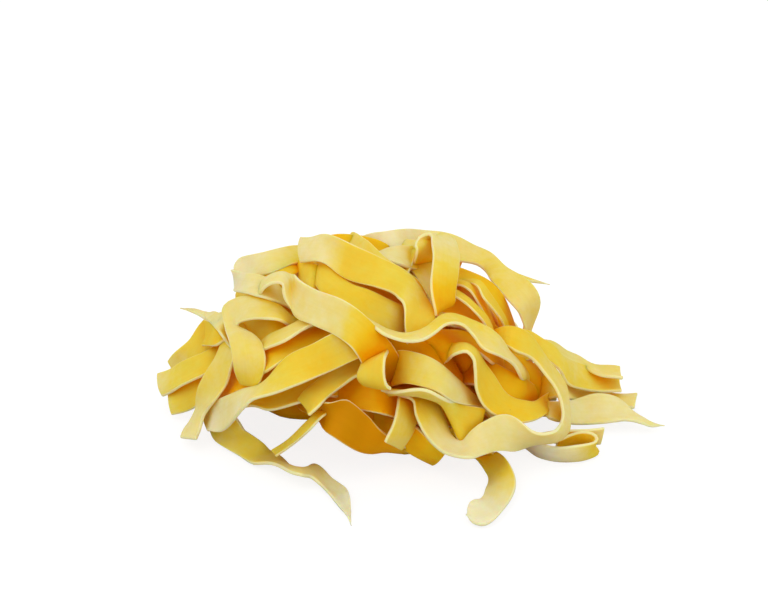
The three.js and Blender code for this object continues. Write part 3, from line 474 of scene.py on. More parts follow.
hangs = {
    "count": 13, "bearing": (-178, -2), "height": (66, 86), "heading": (-140, -40), "length": (32, 48),
    "bend": (-2.2, 2.2), "lift": -0.5, "sway": 1.0, "roll": 18, "tuck": "both", "rank": 4.0, "lower": 0.84,
}
walk = {"gap": 8.0, "rollWaves": 1.3, "bendWaves": 0.5, "tableLift": 0.3}
stride = {"start": 0.37, "height": 0.618, "heading": 0.755, "length": 0.57, "bend": 0.414, "phase": 0.732}

# Noodles deep inside, which fill the gaps. They run over the two low domes in the middle of the heap.
domes = [
    {"x": 8.0, "y": 0.0, "halfLength": 30.0, "halfDepth": 33.0, "height": 29.0},
    {"x": -12.0, "y": 6.0, "halfLength": 27.0, "halfDepth": 25.0, "height": 30.0},
]
innerNoodles = {
    "count": 20, "bearing": (0, 360), "height": (14, 80), "heading": (-170, 170), "length": (40, 64),
    "bend": (-1.3, 1.3), "lift": 0.4, "sway": 0.9, "roll": 18, "tuck": "none", "rank": -12.0,
    "flour": [0.2, 0.35, 0.15], "rowLength": 1.8, "across": 6,
}


def between(ends, part):
    return ends[0] + (ends[1] - ends[0]) * part


def turned(v, axis, angle):
    cos, sin = math.cos(angle), math.sin(angle)
    return v * cos + np.cross(axis, v) * sin + axis * (axis @ v) * (1 - cos)


# A noodle that walks over a dome from a bearing and a height, swaying and turning as it goes
def walkOf(kind, number, centre, half):
    def drawn(name):
        return between(kind[name], (number * stride[name] + stride["start"]) % 1)

    bearing = math.radians(between(kind["bearing"], (number + 0.5) / kind["count"]))
    height = math.radians(drawn("height"))
    phase = turn * ((number * stride["phase"] + stride["start"]) % 1)
    steps = round(drawn("length") / walk["gap"])
    start = [math.cos(bearing) * math.cos(height), math.sin(bearing) * math.cos(height), math.sin(height)]
    point = np.array(start) * half + centre
    up = facing(point, False, half, centre)
    along = turned(np.array([-math.sin(bearing), math.cos(bearing), 0.0]), up, math.radians(drawn("heading")))
    knots = []
    for i in range(steps + 1):
        wave = turn * i / steps + phase
        sway = kind["lift"] + kind["sway"] * math.sin(wave)
        rise = abs(sway) * walk["tableLift"] if point[2] < noodle["thickness"] else sway
        roll = math.radians(kind["roll"]) * math.cos(walk["rollWaves"] * wave)
        span = unit(turned(np.cross(up, along), along, roll))
        knots.append(np.concatenate([point + up * rise, span * noodle["width"], up, [rise + kind["rank"]]]))
        bend = math.radians(drawn("bend")) * walk["gap"] * math.cos(walk["bendWaves"] * wave)
        along = turned(along, up, bend)
        onward = point + along * walk["gap"] - centre
        if onward[2] > noodle["thickness"]:
            onward = onward / np.linalg.norm(onward / half)
        onward = onward + centre
        onward[2] = max(onward[2], noodle["thickness"] / 2)
        along = onward - point
        point = onward
        up = facing(point, point[2] < noodle["thickness"], half, centre)
        along = unit(along - up * (along @ up))
    return withTucks(knots, kind["tuck"])


# How flat noodles are kept apart where one lies over the other, along sight lines from the front
settling = {
    "clearance": 1.1, "reach": 0.95, "steepest": 0.4, "rounds": 140, "ease": 0.88, "fade": 0.998, "most": 8.0,
    "smooth": 4.0, "lastSmooth": 2.5, "selfGap": 13.0, "sameLift": 0.35,
    "samples": (-0.46, -0.31, -0.155, 0.0, 0.155, 0.31, 0.46),
}


def smoothRows(values, width):
    reach = int(3 * width)
    weights = np.exp(-0.5 * (np.arange(-reach, reach + 1) / width) ** 2)
    padded = np.pad(values, reach, mode="edge")
    return np.convolve(padded, weights / weights.sum(), mode="valid")


# A flat map of the samples as seen from the front, their depth, and the way that is deeper
def frontLook(points):
    q = points - eye
    depth = q @ sightAhead
    flatMap = np.column_stack([q @ sightRight, q @ sightUp]) / depth[:, None] * frontView["distance"]
    return np.column_stack([flatMap, np.zeros(len(q))]), np.linalg.norm(q, axis=1), unit(q)


# Moves noodles along their sight lines until they clear one another, and tells how many places met
def settle(moving, fixed):
    everyone = moving + fixed
    ids, rowIds, places, lifts, alongs, flats = [], [], [], [], [], []
    first = 0
    firsts = []
    for number, made in enumerate(everyone):
        firsts.append(first)
        for v in settling["samples"]:
            places.append(made["middle"] + made["span"] * (v * made["width"])[:, None])
            ids.append(np.full(len(made["at"]), number))
            rowIds.append(np.arange(len(made["at"])) + first)
            lifts.append(made["lift"])
            alongs.append(made["at"])
            flats.append(made["flat"])
        first += len(made["at"])
    ids, rowIds, lifts, alongs = [np.concatenate(a) for a in (ids, rowIds, lifts, alongs)]
    places, flats = np.vstack(places), np.vstack(flats)
    flatMap, depth, deeper = frontLook(places)
    tree = kdtree.KDTree(len(flatMap))
    for i, place in enumerate(flatMap):
        tree.insert(place, i)
    tree.balance()
    movable = np.concatenate([np.full(len(m["at"]), n < len(moving)) for n, m in enumerate(everyone)])
    pairs = []
    for a, place in enumerate(flatMap):
        for _, b, _ in tree.find_range(place, settling["reach"]):
            if b <= a or not (movable[rowIds[a]] or movable[rowIds[b]]):
                continue
            if ids[a] == ids[b] and abs(alongs[a] - alongs[b]) < settling["selfGap"]:
                continue
            pairs.append((a, b))
    if not pairs:
        return 0
    a, b = np.array(pairs).T
    rise = lifts[a] - lifts[b]
    aOver = np.where(np.abs(rise) > settling["sameLift"], rise > 0, depth[a] < depth[b])
    over, under = np.where(aOver, a, b), np.where(aOver, b, a)
    lean = (np.abs(np.sum(flats[a] * deeper[a], axis=1)) + np.abs(np.sum(flats[b] * deeper[b], axis=1))) / 2
    gap = settling["clearance"] / np.maximum(lean, settling["steepest"])
    shift = np.zeros(first)
    bounds = list(zip(firsts, firsts[1:] + [first]))
    overRow, underRow = rowIds[over], rowIds[under]
    share = np.where(movable[overRow] & movable[underRow], 0.5, 1.0)
    for _ in range(settling["rounds"]):
        lack = gap - (depth[under] + shift[underRow] - depth[over] - shift[overRow])
        lack = np.maximum(lack, 0) * share
        pull, push = np.zeros(first), np.zeros(first)
        np.maximum.at(pull, overRow, lack)
        np.maximum.at(push, underRow, lack)
        step = np.where(movable, push - pull, 0)
        for start, end in bounds[:len(moving)]:
            shift[start:end] += smoothRows(step[start:end], settling["smooth"]) * settling["ease"]
        shift = np.clip(shift * settling["fade"], -settling["most"], settling["most"])
    for made, (start, end) in zip(moving, bounds):
        moved = smoothRows(shift[start:end], settling["lastSmooth"])
        made["middle"] = made["middle"] + frontLook(made["middle"])[2] * moved[:, None]
        faceRows(made)
    return len(pairs)


# Lifts a noodle's rows off the table where its edge would go through
def keepOffTable(made):
    half = made["width"] / 2
    lowest = made["middle"][:, 2] - np.abs(made["span"][:, 2]) * half
    lowest -= np.abs(made["flat"][:, 2]) * (noodle["thickness"] / 2 + noodle["flutter"])
    lack = np.maximum(noodle["tableGap"] - lowest, 0)
    if lack.max() > 0:
        spread = np.maximum(lack, smoothRows(lack, noodle["tableSmooth"]))
        made["middle"][:, 2] += spread
        faceRows(made)


traced = {}
for name, shown in everyShown.items():
    knots = knotsOf(shown["stations"], least=shown.get("width", noodle["width"]))
    ends = shown.get("ends", {})
    rowLength = noodle["endRowLength" if ends else "rowLength"]  # shaped ends need finer rows
    made = makeNoodle(name, withTucks(knots, shown["tuck"]), shown["flour"], rowLength)
    traced[name] = shapeEnds(made, ends)
print("showing noodles laid:", len(traced))

# Outline of the heap from the front, across and up, in which the hidden noodles stay, and gaps that they
# leave open
hiddenRoom = {
    "outline": [
        (-37.25, 33), (-21, 38), (-4.75, 39), (11.5, 38.5), (21.5, 36), (30.25, 30.5), (37, 23.5),
        (37.75, 17.25), (46.5, 9.75), (57, 4.75), (57, -0.5), (44.5, -2), (40.25, -3.5), (29, -11.5),
        (19, -13), (12.75, -15), (4, -12), (-6, -11), (-12, -6.5), (-15, -1), (-17, 0), (-30.5, 0),
        (-34.75, 2), (-42.25, 0), (-51, -1), (-53, 3.5), (-47.5, 12.25), (-41, 20), (-37, 26)],
    "gaps": [(24.25, 29.75, 3.0), (20.5, 29.75, 2.0), (32, 22.25, 2.5), (28, 26, 2.0)],  # across, up, radius
    "leastLength": 24.0,
}


def fromFront(points):
    q = points - eye
    scale = frontView["distance"] / (q @ sightAhead)
    return np.column_stack([q @ sightRight * scale, frontView["level"] + q @ sightUp * scale])


def insideOutline(places):
    inside = np.zeros(len(places), bool)
    corners = hiddenRoom["outline"]
    for (ax, ay), (bx, by) in zip(corners, corners[1:] + corners[:1]):
        crosses = (places[:, 1] < ay) != (places[:, 1] < by)
        meets = ax + (places[:, 1] - ay) / (by - ay if by != ay else 1.0) * (bx - ax)
        inside ^= crosses & (places[:, 0] < meets)
    for across, up, reach in hiddenRoom["gaps"]:
        inside &= np.hypot(places[:, 0] - across, places[:, 1] - up) > reach
    return inside


# Cuts a hidden noodle back to its longest run that stays within the room, or leaves it out
def trimmed(made):
    fits = np.ones(len(made["at"]), bool)
    for v in (-0.5, 0.0, 0.5):
        fits &= insideOutline(fromFront(made["middle"] + made["span"] * (v * made["width"])[:, None]))
    best, start = (0, 0), None
    for i, fit in enumerate([*fits, False]):
        if fit and start is None:
            start = i
        if not fit and start is not None:
            best = max(best, (i - start, -start))
            start = None
    first = -best[1]
    last = first + best[0]
    if best[0] < 2 or made["at"][last - 1] - made["at"][first] < hiddenRoom["leastLength"]:
        return None
    for name in ("at", "middle", "span", "lift", "width", "flat"):
        made[name] = made[name][first:last]
    return made


# The same noodle on the other side of the heap
def mirrored(made):
    made["middle"] = made["middle"] * [1, -1, 1] + heapCentre * [0, 2, 0]
    made["span"] = made["span"] * [1, -1, 1]
    return faceRows(made)


def backStations(stations):
    moved = []
    for leftAcross, leftUp, rightAcross, rightUp, lift, *nearer in stations:
        shift = (leftAcross + rightAcross) / 2 * (backHeap["narrower"] - 1)
        drop = (leftUp + rightUp) / 2 * (backHeap["lower"] - 1) if leftUp + rightUp > 0 else 0.0
        moved.append([leftAcross + shift, leftUp + drop, rightAcross + shift, rightUp + drop,
                      lift * backHeap["flatter"] - backHeap["sunk"], *nearer])
    return moved


behind = {}
backHalf = halfOf(backHeap)
for name, shown in [*footNoodles.items(), *((name, everyShown[name]) for name in backOnes)]:
    knots = withTucks(knotsOf(backStations(shown["stations"]), backHalf), shown["tuck"])
    behind[name] = makeNoodle(name + "Behind", knots, [f + backHeap["paler"] for f in shown["flour"]][::-1])
for kindName, kind in (("drape", drapes), ("hang", hangs)):
    for number in range(kind["count"]):
        draw = number * hangingFlour["perNoodle"]
        draws = [draw + hangingFlour["perPlace"] * k for k in range(hangingFlour["places"])]
        flour = [hangingFlour["least"] + hangingFlour["spread"] * (d % 1) for d in draws]
        knots = walkOf(kind, number, heapCentre, backHalf * [1, 1, kind["lower"]])
        behind[f"{kindName}{number}"] = makeNoodle(f"{kindName}{number}", knots, flour)
print("noodles behind laid:", len(behind))

inner = {}
for domeNumber, dome in enumerate(domes):
    centre = heapCentre + np.array([dome["x"], dome["y"], 0.0])
    half = halfOf(dome)
    for number in range(innerNoodles["count"]):
        name = f"inner{domeNumber}_{number}"
        knots = walkOf(innerNoodles, number, centre, half)
        inner[name] = makeNoodle(name, knots, innerNoodles["flour"], innerNoodles["rowLength"])
print("noodles inside laid:", len(inner))

lyingOut = ("longTail", "rightCurl", "rightCurlFar", "frontCurl")
heaped = [made for name, made in traced.items() if name not in lyingOut]
print("pairs from the front:", settle(heaped, [traced[name] for name in lyingOut]))
print("pairs behind:", settle(list(behind.values()), []))
for made in behind.values():
    mirrored(made)
behind = {name: made for name, made in behind.items() if trimmed(made)}
inner = {name: made for name, made in inner.items() if trimmed(made)}
for made in [*traced.values(), *behind.values(), *inner.values()]:
    keepOffTable(made)
print("noodles kept:", len(traced) + len(behind) + len(inner))


# One number between 0 and 1 that a noodle's name and the use it is for always give
drawSteps = {"first": 3, "name": 0.618, "use": 0.377}


def drawFor(name, use):
    code = sum(ord(c) * (i + drawSteps["first"]) for i, c in enumerate(name))
    return (code * drawSteps["name"] + use * drawSteps["use"]) % 1


# Points round a noodle's cut: place across and in the thickness, each with how far it is out on the rim
def ringOf(across):
    half, corner = noodle["thickness"] / 2, noodle["edgeRound"]
    flat = [(v, 0.0, half, 0.0) for v in np.linspace(-1, 1, across + 1)]
    arcs = []
    for k in range(noodle["edgeSteps"] + 1):
        a = math.pi / 2 * k / noodle["edgeSteps"]
        arcs.append((1.0, corner * math.sin(a), half - corner + corner * math.cos(a), math.sin(a)))
    side = flat + arcs[1:] + [(v, o, -h, r) for v, o, h, r in arcs[::-1]]
    back = [(-v, -o, -h, r) for v, o, h, r in side]
    return np.array(side + back[:-1] + side[:1])


# The noodle's skin: rows along and points round, with a slow curl, a flutter of the edges, uneven width
# and ends that are a little rounded
def surfaceOf(made, ring):
    inRows = [0, 0, *range(len(made["at"])), -1, -1]
    at = made["at"][inRows]
    end = np.array([*noodle["endThin"], *[1.0] * len(made["at"]), *noodle["endThin"][::-1]])
    outward = np.zeros(len(at))
    outward[-2:] = np.array(noodle["endOut"][::-1]) * noodle["edgeRound"]
    outward[:2] = -outward[:-3:-1]
    v, out, thick, rim = ring.T
    curl = noodle["curl"] * np.sin(turn * (at / noodle["curlLength"] + drawFor(made["name"], 1)))
    wide = 1 + noodle["widthSway"] * np.sin(turn * (at / noodle["swayLength"] + drawFor(made["name"], 2)))
    left = np.sin(turn * (at / noodle["flutterLength"][0] + drawFor(made["name"], 3)))
    right = np.sin(turn * (at / noodle["flutterLength"][1] + drawFor(made["name"], 4)))
    flutter = np.where(v < 0, left[:, None], right[:, None]) * np.abs(v) ** 3 * noodle["flutter"]
    thin = np.minimum(made["width"][inRows] / noodle["width"] * noodle["fullThickness"], 1.0)
    off = (curl[:, None] * (v ** 2 - noodle["curlLevel"]) + flutter) * thin[:, None]
    off = off + thick * (end * thin)[:, None]
    half = np.maximum(made["width"][inRows] * wide / 2 - noodle["edgeRound"], noodle["leastHalf"])
    half -= (1 - end) * noodle["edgeRound"]
    side = half[:, None] * v + out * thin[:, None]
    along = unit(np.cross(made["span"], made["flat"]))[inRows]
    middle = made["middle"][inRows] + along * outward[:, None]
    places = middle[:, None, :] + made["span"][inRows][:, None, :] * side[:, :, None]
    places = places + made["flat"][inRows][:, None, :] * off[:, :, None]
    seated = thick + noodle["thickness"] / 2 + noodle["seatGap"]
    places[:, :, 2] = np.maximum(places[:, :, 2], seated)
    return places, side, at


def addStrip(bm, made, ring, layers):
    places, side, at = surfaceOf(made, ring)
    rows, columns = len(at) - 1, len(ring) - 1
    grid = bmesh.ops.create_grid(bm, x_segments=rows, y_segments=columns, size=1)
    flour = np.interp(at, np.linspace(at[0], at[-1], len(made["flour"])), made["flour"])
    cells = {}
    for vert in grid["verts"]:
        i = round((vert.co.x + 1) / 2 * rows)
        j = round((vert.co.y + 1) / 2 * columns)
        cells[vert] = (i, j)
        vert.co = Vector(places[i, j]) * mm
        vert[layers["flour"]] = flour[i]
        vert[layers["rim"]] = max(ring[j, 3], 1.0 if i in (0, rows) else 0.0)
    for face in {f for vert in grid["verts"] for f in vert.link_faces}:
        face.smooth = True
        for loop in face.loops:
            i, j = cells[loop.vert]
            loop[layers["strip"]].uv = (at[i], side[i, j])
    bmesh.ops.remove_doubles(bm, verts=grid["verts"], dist=1e-7)


def linear(code):
    parts = [int(code[i:i + 2], 16) / 255 for i in (1, 3, 5)]
    return [c / 12.92 if c <= 0.04045 else ((c + 0.055) / 1.055) ** 2.4 for c in parts] + [1.0]


# Adds a node, sets what is given on it, sets or links its inputs, and gives one of its outputs
def addNode(tree, kind, settings, inputs, output=0):
    made = tree.nodes.new(kind)
    for name, value in settings.items():
        setattr(made, name, value)
    for name, value in inputs.items():
        if isinstance(value, bpy.types.NodeSocket):
            tree.links.new(value, made.inputs[name])
        else:
            made.inputs[name].default_value = value
    return made.outputs[output]


# Shades go from a painted deep shade below nought and a painted shade where shut in, to thick with flour.
# Flour and grit are finer than the picture shows, so dust and grain are drawn coarser than they are.
# Pattern sizes in mm.
pastaLook = {
    "shades": [
        (-0.5, "#C67A16"), (-0.25, "#CC8B00"), (0.0, "#F7A904"), (0.25, "#F3C21A"), (0.5, "#EFD24C"),
        (0.75, "#F0DE94"), (1.0, "#F5EAC6")],
    "blotchMm": 12.0, "dustMm": 2.2, "dustPart": 0.4, "uneven": 0.55,
    "shutFrom": (0.25, 0.85), "shutIn": 0.35, "roughness": (0.5, 0.72),
    "cutEdgeAndHighlight": "#FAEDB8", "cutFrom": (0.3, 0.85), "cutPart": (0.85, 0.4),
    "streakMm": (14.0, 0.7), "streakFrom": (0.3, 0.7), "streakShade": (0.985, 1.012),
    "speck": "#BC9038", "speckMm": 9.0, "speckFrom": (0.015, 0.035), "speckPart": 0.25,
    "grainMm": 0.5, "grainRelief": 0.5, "streakRelief": 0.25, "dustRelief": 0.7,
    "reliefMm": 0.12, "relief": 0.35, "patternRoughness": 0.6,
    "subsurface": 0.6, "subsurfaceMm": 2.0, "subsurfaceTint": (1.0, 0.55, 0.16),
    "ior": 1.45, "specular": 0.06,
}


# Fresh egg pasta: dough rolled and cut, then dusted. Dull, a little see-through, pale where flour lies.
# Deep yolk yellow to brownish orange where it is shut in or where its list goes below nought: painted shade.
# Cream along the cut edges, partly dry dough and partly a painted highlight.
def eggPasta():
    look = pastaLook
    material = bpy.data.materials.new("freshEggPasta")
    material.use_nodes = True
    tree = material.node_tree
    shader = tree.nodes["Principled BSDF"]
    place = addNode(tree, "ShaderNodeTexCoord", {}, {}, "Object")
    strip = addNode(tree, "ShaderNodeUVMap", {"uv_map": "strip"}, {}, "UV")
    flour = addNode(tree, "ShaderNodeAttribute", {"attribute_name": "flour"}, {}, "Fac")
    shutInShade = addNode(tree, "ShaderNodeAttribute", {"attribute_name": "shutInShade"}, {}, "Fac")
    rim = addNode(tree, "ShaderNodeAttribute", {"attribute_name": "rim"}, {}, "Fac")
    patterns = {}
    for name, detail in (("blotch", 2.0), ("dust", 3.0), ("grain", 2.0)):
        patterns[name] = addNode(tree, "ShaderNodeTexNoise", {}, {
            "Vector": place, "Scale": 1 / (look[name + "Mm"] * mm), "Detail": detail,
            "Roughness": look["patternRoughness"]}, "Fac")
    along = addNode(tree, "ShaderNodeMapping", {}, {
        "Vector": strip, "Scale": (1 / look["streakMm"][0], 1 / look["streakMm"][1], 1.0)})
    streak = addNode(tree, "ShaderNodeTexNoise", {}, {
        "Vector": along, "Scale": 1.0, "Detail": 3.0, "Roughness": look["patternRoughness"]}, "Fac")

    # How pale each place is: flour dust and painted light from the noodle's own list, less where it is shut
    # in (painted shade), and below nought, a painted deep shade, where the list says so
    uneven = addNode(tree, "ShaderNodeMix", {"data_type": "FLOAT"}, {
        0: look["dustPart"], 2: patterns["blotch"], 3: patterns["dust"]})
    uneven = addNode(tree, "ShaderNodeMath", {"operation": "MULTIPLY_ADD"}, {
        0: uneven, 1: look["uneven"], 2: -look["uneven"] / 2})
    shutIn = addNode(tree, "ShaderNodeMapRange", {"interpolation_type": "SMOOTHSTEP"}, {
        "Value": shutInShade, "From Min": look["shutFrom"][0], "From Max": look["shutFrom"][1],
        "To Max": look["shutIn"]})
    dustAndShade = addNode(tree, "ShaderNodeMath", {"operation": "ADD"}, {0: flour, 1: uneven})
    dustAndShade = addNode(tree, "ShaderNodeMath", {"operation": "SUBTRACT"}, {0: dustAndShade, 1: shutIn})
    dustAndShade = addNode(tree, "ShaderNodeMath", {"operation": "MAXIMUM"}, {0: dustAndShade, 1: 0.0})
    paintedDeepShade = addNode(tree, "ShaderNodeMath", {"operation": "MINIMUM"}, {0: flour, 1: 0.0})
    dustAndShade = addNode(tree, "ShaderNodeMath", {"operation": "ADD"}, {0: dustAndShade, 1: paintedDeepShade})

    low = look["shades"][0][0]
    part = addNode(tree, "ShaderNodeMapRange", {}, {"Value": dustAndShade, "From Min": low, "From Max": 1.0})
    colour = addNode(tree, "ShaderNodeValToRGB", {}, {0: part})
    stops = colour.node.color_ramp.elements
    while len(stops) < len(look["shades"]):
        stops.new(0.5)
    for stop, (level, code) in zip(stops, look["shades"]):
        stop.position = (level - low) / (1 - low)
        stop.color = linear(code)

    # Cream cut edges, partly dry dough and partly a painted highlight, paler where not shut in;
    # faint lines from rolling and a few bran specks
    outOfShade = addNode(tree, "ShaderNodeMapRange", {"interpolation_type": "SMOOTHSTEP"}, {
        "Value": shutInShade, "From Min": look["cutFrom"][0], "From Max": look["cutFrom"][1],
        "To Min": look["cutPart"][0], "To Max": look["cutPart"][1]})
    cutEdgeAndHighlight = addNode(tree, "ShaderNodeMath", {"operation": "MULTIPLY"}, {0: rim, 1: outOfShade})
    colour = addNode(tree, "ShaderNodeMix", {"data_type": "RGBA"}, {
        0: cutEdgeAndHighlight, 6: colour, 7: linear(look["cutEdgeAndHighlight"])}, 2)
    lines = addNode(tree, "ShaderNodeMapRange", {"interpolation_type": "SMOOTHSTEP"}, {
        "Value": streak, "From Min": look["streakFrom"][0], "From Max": look["streakFrom"][1],
        "To Min": look["streakShade"][0], "To Max": look["streakShade"][1]})
    colour = addNode(tree, "ShaderNodeMix", {"data_type": "RGBA", "blend_type": "MULTIPLY"}, {
        0: 1.0, 6: colour, 7: lines}, 2)
    distance = addNode(tree, "ShaderNodeTexVoronoi", {}, {
        "Vector": place, "Scale": 1 / (look["speckMm"] * mm)}, "Distance")
    speck = addNode(tree, "ShaderNodeMapRange", {"interpolation_type": "SMOOTHSTEP"}, {
        "Value": distance, "From Min": look["speckFrom"][0], "From Max": look["speckFrom"][1],
        "To Min": look["speckPart"], "To Max": 0.0})
    colour = addNode(tree, "ShaderNodeMix", {"data_type": "RGBA"}, {
        0: speck, 6: colour, 7: linear(look["speck"])}, 2)
    tree.links.new(colour, shader.inputs["Base Color"])

    rough = addNode(tree, "ShaderNodeMapRange", {"interpolation_type": "SMOOTHSTEP"}, {
        "Value": dustAndShade, "To Min": look["roughness"][0], "To Max": look["roughness"][1]})
    tree.links.new(rough, shader.inputs["Roughness"])
    relief = addNode(tree, "ShaderNodeMath", {"operation": "MULTIPLY"}, {
        0: patterns["grain"], 1: look["grainRelief"]})
    relief = addNode(tree, "ShaderNodeMath", {"operation": "MULTIPLY_ADD"}, {
        0: streak, 1: look["streakRelief"], 2: relief})
    relief = addNode(tree, "ShaderNodeMath", {"operation": "MULTIPLY_ADD"}, {
        0: patterns["dust"], 1: look["dustRelief"], 2: relief})
    bump = addNode(tree, "ShaderNodeBump", {}, {
        "Strength": look["relief"], "Distance": look["reliefMm"] * mm, "Height": relief})
    tree.links.new(bump, shader.inputs["Normal"])
    shader.inputs["Subsurface Weight"].default_value = look["subsurface"]
    shader.inputs["Subsurface Radius"].default_value = look["subsurfaceTint"]
    shader.inputs["Subsurface Scale"].default_value = look["subsurfaceMm"] * mm
    shader.inputs["IOR"].default_value = look["ior"]
    shader.inputs["Specular IOR Level"].default_value = look["specular"]
    return material


pasta = eggPasta()


def newObject(name, bm, material=pasta):
    mesh = bpy.data.meshes.new(name)
    bm.to_mesh(mesh)
    bm.free()
    mesh.materials.append(material)
    made = bpy.data.objects.new(name, mesh)
    bpy.context.scene.collection.objects.link(made)
    return made


def addPiece(name, strips, across):
    bm = bmesh.new()
    layers = {n: bm.verts.layers.float.new(n) for n in ("flour", "rim")}
    layers["strip"] = bm.loops.layers.uv.new("strip")
    ring = ringOf(across)
    for made in strips:
        addStrip(bm, made, ring, layers)
    ends = bmesh.ops.holes_fill(bm, edges=[e for e in bm.edges if e.is_boundary], sides=0)["faces"]
    bmesh.ops.triangulate(bm, faces=ends)
    bmesh.ops.recalc_face_normals(bm, faces=bm.faces)
    return newObject(name, bm)


pieces = []
for name, group in shownGroups.items():
    pieces.append(addPiece(name, [traced[n] for n in group], noodle["across"]))
pieces.append(addPiece("backNoodles", list(behind.values()), noodle["across"]))
pieces.append(addPiece("innerNoodles", list(inner.values()), innerNoodles["across"]))
print("strips made:", len(pieces), "pieces")

# Middle of the heap: the two domes as one lumpy mass, shrunk to lie under the noodles inside
nestCore = {
    "middle": (0.0, 6.0, 10.0), "shrink": 3.5, "lump": 1.6, "lumpSize": 9.0, "foot": 0.3,
    "subdivisions": 5, "flour": 0.05,
}


def addCore():
    bm = bmesh.new()
    flour = bm.verts.layers.float.new("flour")
    bmesh.ops.create_icosphere(bm, subdivisions=nestCore["subdivisions"], radius=1)
    start = heapCentre + np.array(nestCore["middle"])
    for vert in bm.verts:
        way = np.array(vert.co.normalized())
        reach = 0.0
        for dome in domes:
            half = halfOf(dome) - nestCore["shrink"]
            o = (start - heapCentre - np.array([dome["x"], dome["y"], 0.0])) / half
            d = way / half
            a, b = d @ d, d @ o
            reach = max(reach, (-b + math.sqrt(b * b - a * (o @ o - 1))) / a)
        place = start + way * reach
        reach += nestCore["lump"] * noise.noise(Vector(place / nestCore["lumpSize"]))
        place = start + way * reach
        place[2] = max(place[2], nestCore["foot"])
        vert.co = Vector(place) * mm
        vert[flour] = nestCore["flour"]
    for face in bm.faces:
        face.smooth = True
    return newObject("nestCore", bm)


pieces.append(addCore())
print("triangles:", {p.name: sum(len(f.vertices) - 2 for f in p.data.polygons) for p in pieces})

# How shut in each point of the pasta is, from rays cast around it. This is painted shade: it deepens the
# colour in crevices and keeps the cut edges there from going pale.
shaded = {"rays": 16, "reach": 13.0, "start": 0.25, "rounds": 2, "farLoss": 0.6}


def hemisphere(count):
    golden = math.pi * (3 - math.sqrt(5))
    ways = []
    for i in range(count):
        z = math.sqrt(1 - (i + 0.5) / count)
        flat = math.sqrt(1 - z * z)
        ways.append((math.cos(golden * i) * flat, math.sin(golden * i) * flat, z))
    return np.array(ways)


def addShutInShade():
    corners, faces, first = [], [], 0
    for piece in pieces:
        count = len(piece.data.vertices)
        co = np.zeros(count * 3)
        piece.data.vertices.foreach_get("co", co)
        corners += [Vector(c) for c in co.reshape(-1, 3) / mm]
        faces += [[v + first for v in f.vertices] for f in piece.data.polygons]
        first += count
    tree = BVHTree.FromPolygons(corners, faces)
    ways = hemisphere(shaded["rays"])
    first = 0
    for piece in pieces:
        mesh = piece.data
        count = len(mesh.vertices)
        shut = np.zeros(count)
        for i in range(count):
            n = np.array(mesh.vertices[i].normal)
            side = unit(np.cross(n, [0.0, 0.0, 1.0] if abs(n[2]) < 0.9 else [1.0, 0.0, 0.0]))
            up = np.cross(n, side)
            start = corners[first + i] + Vector(n) * shaded["start"]
            total = 0.0
            for way in ways @ np.array([side, up, n]):
                hit = tree.ray_cast(start, Vector(way), shaded["reach"])
                if hit[3] is not None:
                    total += 1 - shaded["farLoss"] * hit[3] / shaded["reach"]
            shut[i] = total / shaded["rays"]
        edges = np.zeros(len(mesh.edges) * 2, int)
        mesh.edges.foreach_get("vertices", edges)
        a, b = edges.reshape(-1, 2).T
        for _ in range(shaded["rounds"]):
            near = np.bincount(a, shut[b], count) + np.bincount(b, shut[a], count)
            shut = (shut + near) / (1 + np.bincount(a, minlength=count) + np.bincount(b, minlength=count))
        layer = mesh.attributes.new("shutInShade", "FLOAT", "POINT")
        layer.data.foreach_set("value", shut.astype(np.float32))
        first += count


addShutInShade()
print("damp places found")

for piece in pieces:
    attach(piece, "root")
    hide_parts("pasta_nest")

# White table, grey in the light that it throws back so that the undersides of the heap stay deep in colour
floorLook = {
    "colour": "#C4C4C4", "seenColour": "#828282", "glowColour": "#FFFFFF", "seenGlow": 0.84,
    "roughness": 0.9, "specular": 0.1, "halfSize": 3.0,
}


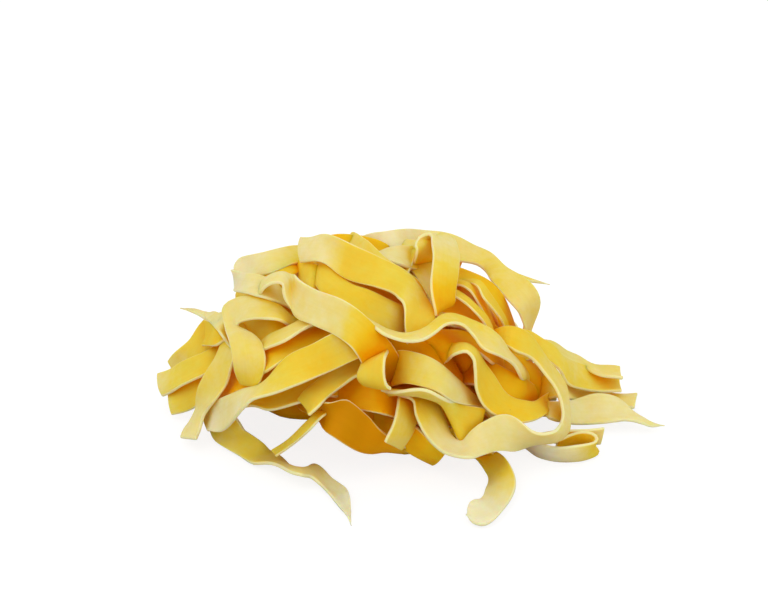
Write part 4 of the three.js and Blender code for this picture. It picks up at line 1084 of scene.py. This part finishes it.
def addFloor():
    material = bpy.data.materials.new("whiteTable")
    material.use_nodes = True
    tree = material.node_tree
    shader = tree.nodes["Principled BSDF"]
    seen = addNode(tree, "ShaderNodeLightPath", {}, {}, "Is Camera Ray")
    glow = addNode(tree, "ShaderNodeMath", {"operation": "MULTIPLY"}, {0: seen, 1: floorLook["seenGlow"]})
    shade = addNode(tree, "ShaderNodeMix", {"data_type": "RGBA"}, {
        0: seen, 6: linear(floorLook["colour"]), 7: linear(floorLook["seenColour"])}, 2)
    tree.links.new(shade, shader.inputs["Base Color"])
    shader.inputs["Roughness"].default_value = floorLook["roughness"]
    shader.inputs["Specular IOR Level"].default_value = floorLook["specular"]
    shader.inputs["Emission Color"].default_value = linear(floorLook["glowColour"])
    tree.links.new(glow, shader.inputs["Emission Strength"])
    bm = bmesh.new()
    bmesh.ops.create_grid(bm, x_segments=1, y_segments=1, size=floorLook["halfSize"])
    newObject("floor", bm, material)


addFloor()

lighting = {
    "dome": 0.85, "domeColour": "#FFFFFF", "bounces": 8,
    "key": {"place": (-0.42, -0.42, 0.75), "size": 0.6, "power": 1.2},
    "fill": {"place": (0.35, -0.75, 0.3), "size": 0.7, "power": 1.0},
}


def addLight(name, place, size, power):
    lamp = bpy.data.lights.new(name, "AREA")
    lamp.shape = "DISK"
    lamp.size = size
    lamp.energy = power
    made = bpy.data.objects.new(name, lamp)
    made.location = place
    made.rotation_mode = "QUATERNION"
    made.rotation_quaternion = (Vector(aim * mm) - Vector(place)).to_track_quat("-Z", "Y")
    bpy.context.scene.collection.objects.link(made)


addLight("keyLight", **lighting["key"])
addLight("fillLight", **lighting["fill"])
world = bpy.data.worlds.new("softStudio")
world.use_nodes = True
world.node_tree.nodes["Background"].inputs["Color"].default_value = linear(lighting["domeColour"])
world.node_tree.nodes["Background"].inputs["Strength"].default_value = lighting["dome"]
bpy.context.scene.world = world
bpy.context.scene.view_settings.view_transform = "Standard"
bpy.context.scene.cycles.diffuse_bounces = lighting["bounces"]

cameraData = bpy.data.cameras.new("frontCamera")
camera = bpy.data.objects.new("frontCamera", cameraData)
cameraData.sensor_width = frontView["sensor"]
pixelsAway = frontView["pixelsPerMm"] * frontView["distance"]
cameraData.lens = pixelsAway * frontView["sensor"] / frontView["pictureWidth"]
camera.location = Vector(eye) * mm
camera.rotation_mode = "QUATERNION"
camera.rotation_quaternion = Vector(sightAhead).to_track_quat("-Z", "Y")
bpy.context.scene.collection.objects.link(camera)
bpy.context.scene.camera = camera
print("studio ready")
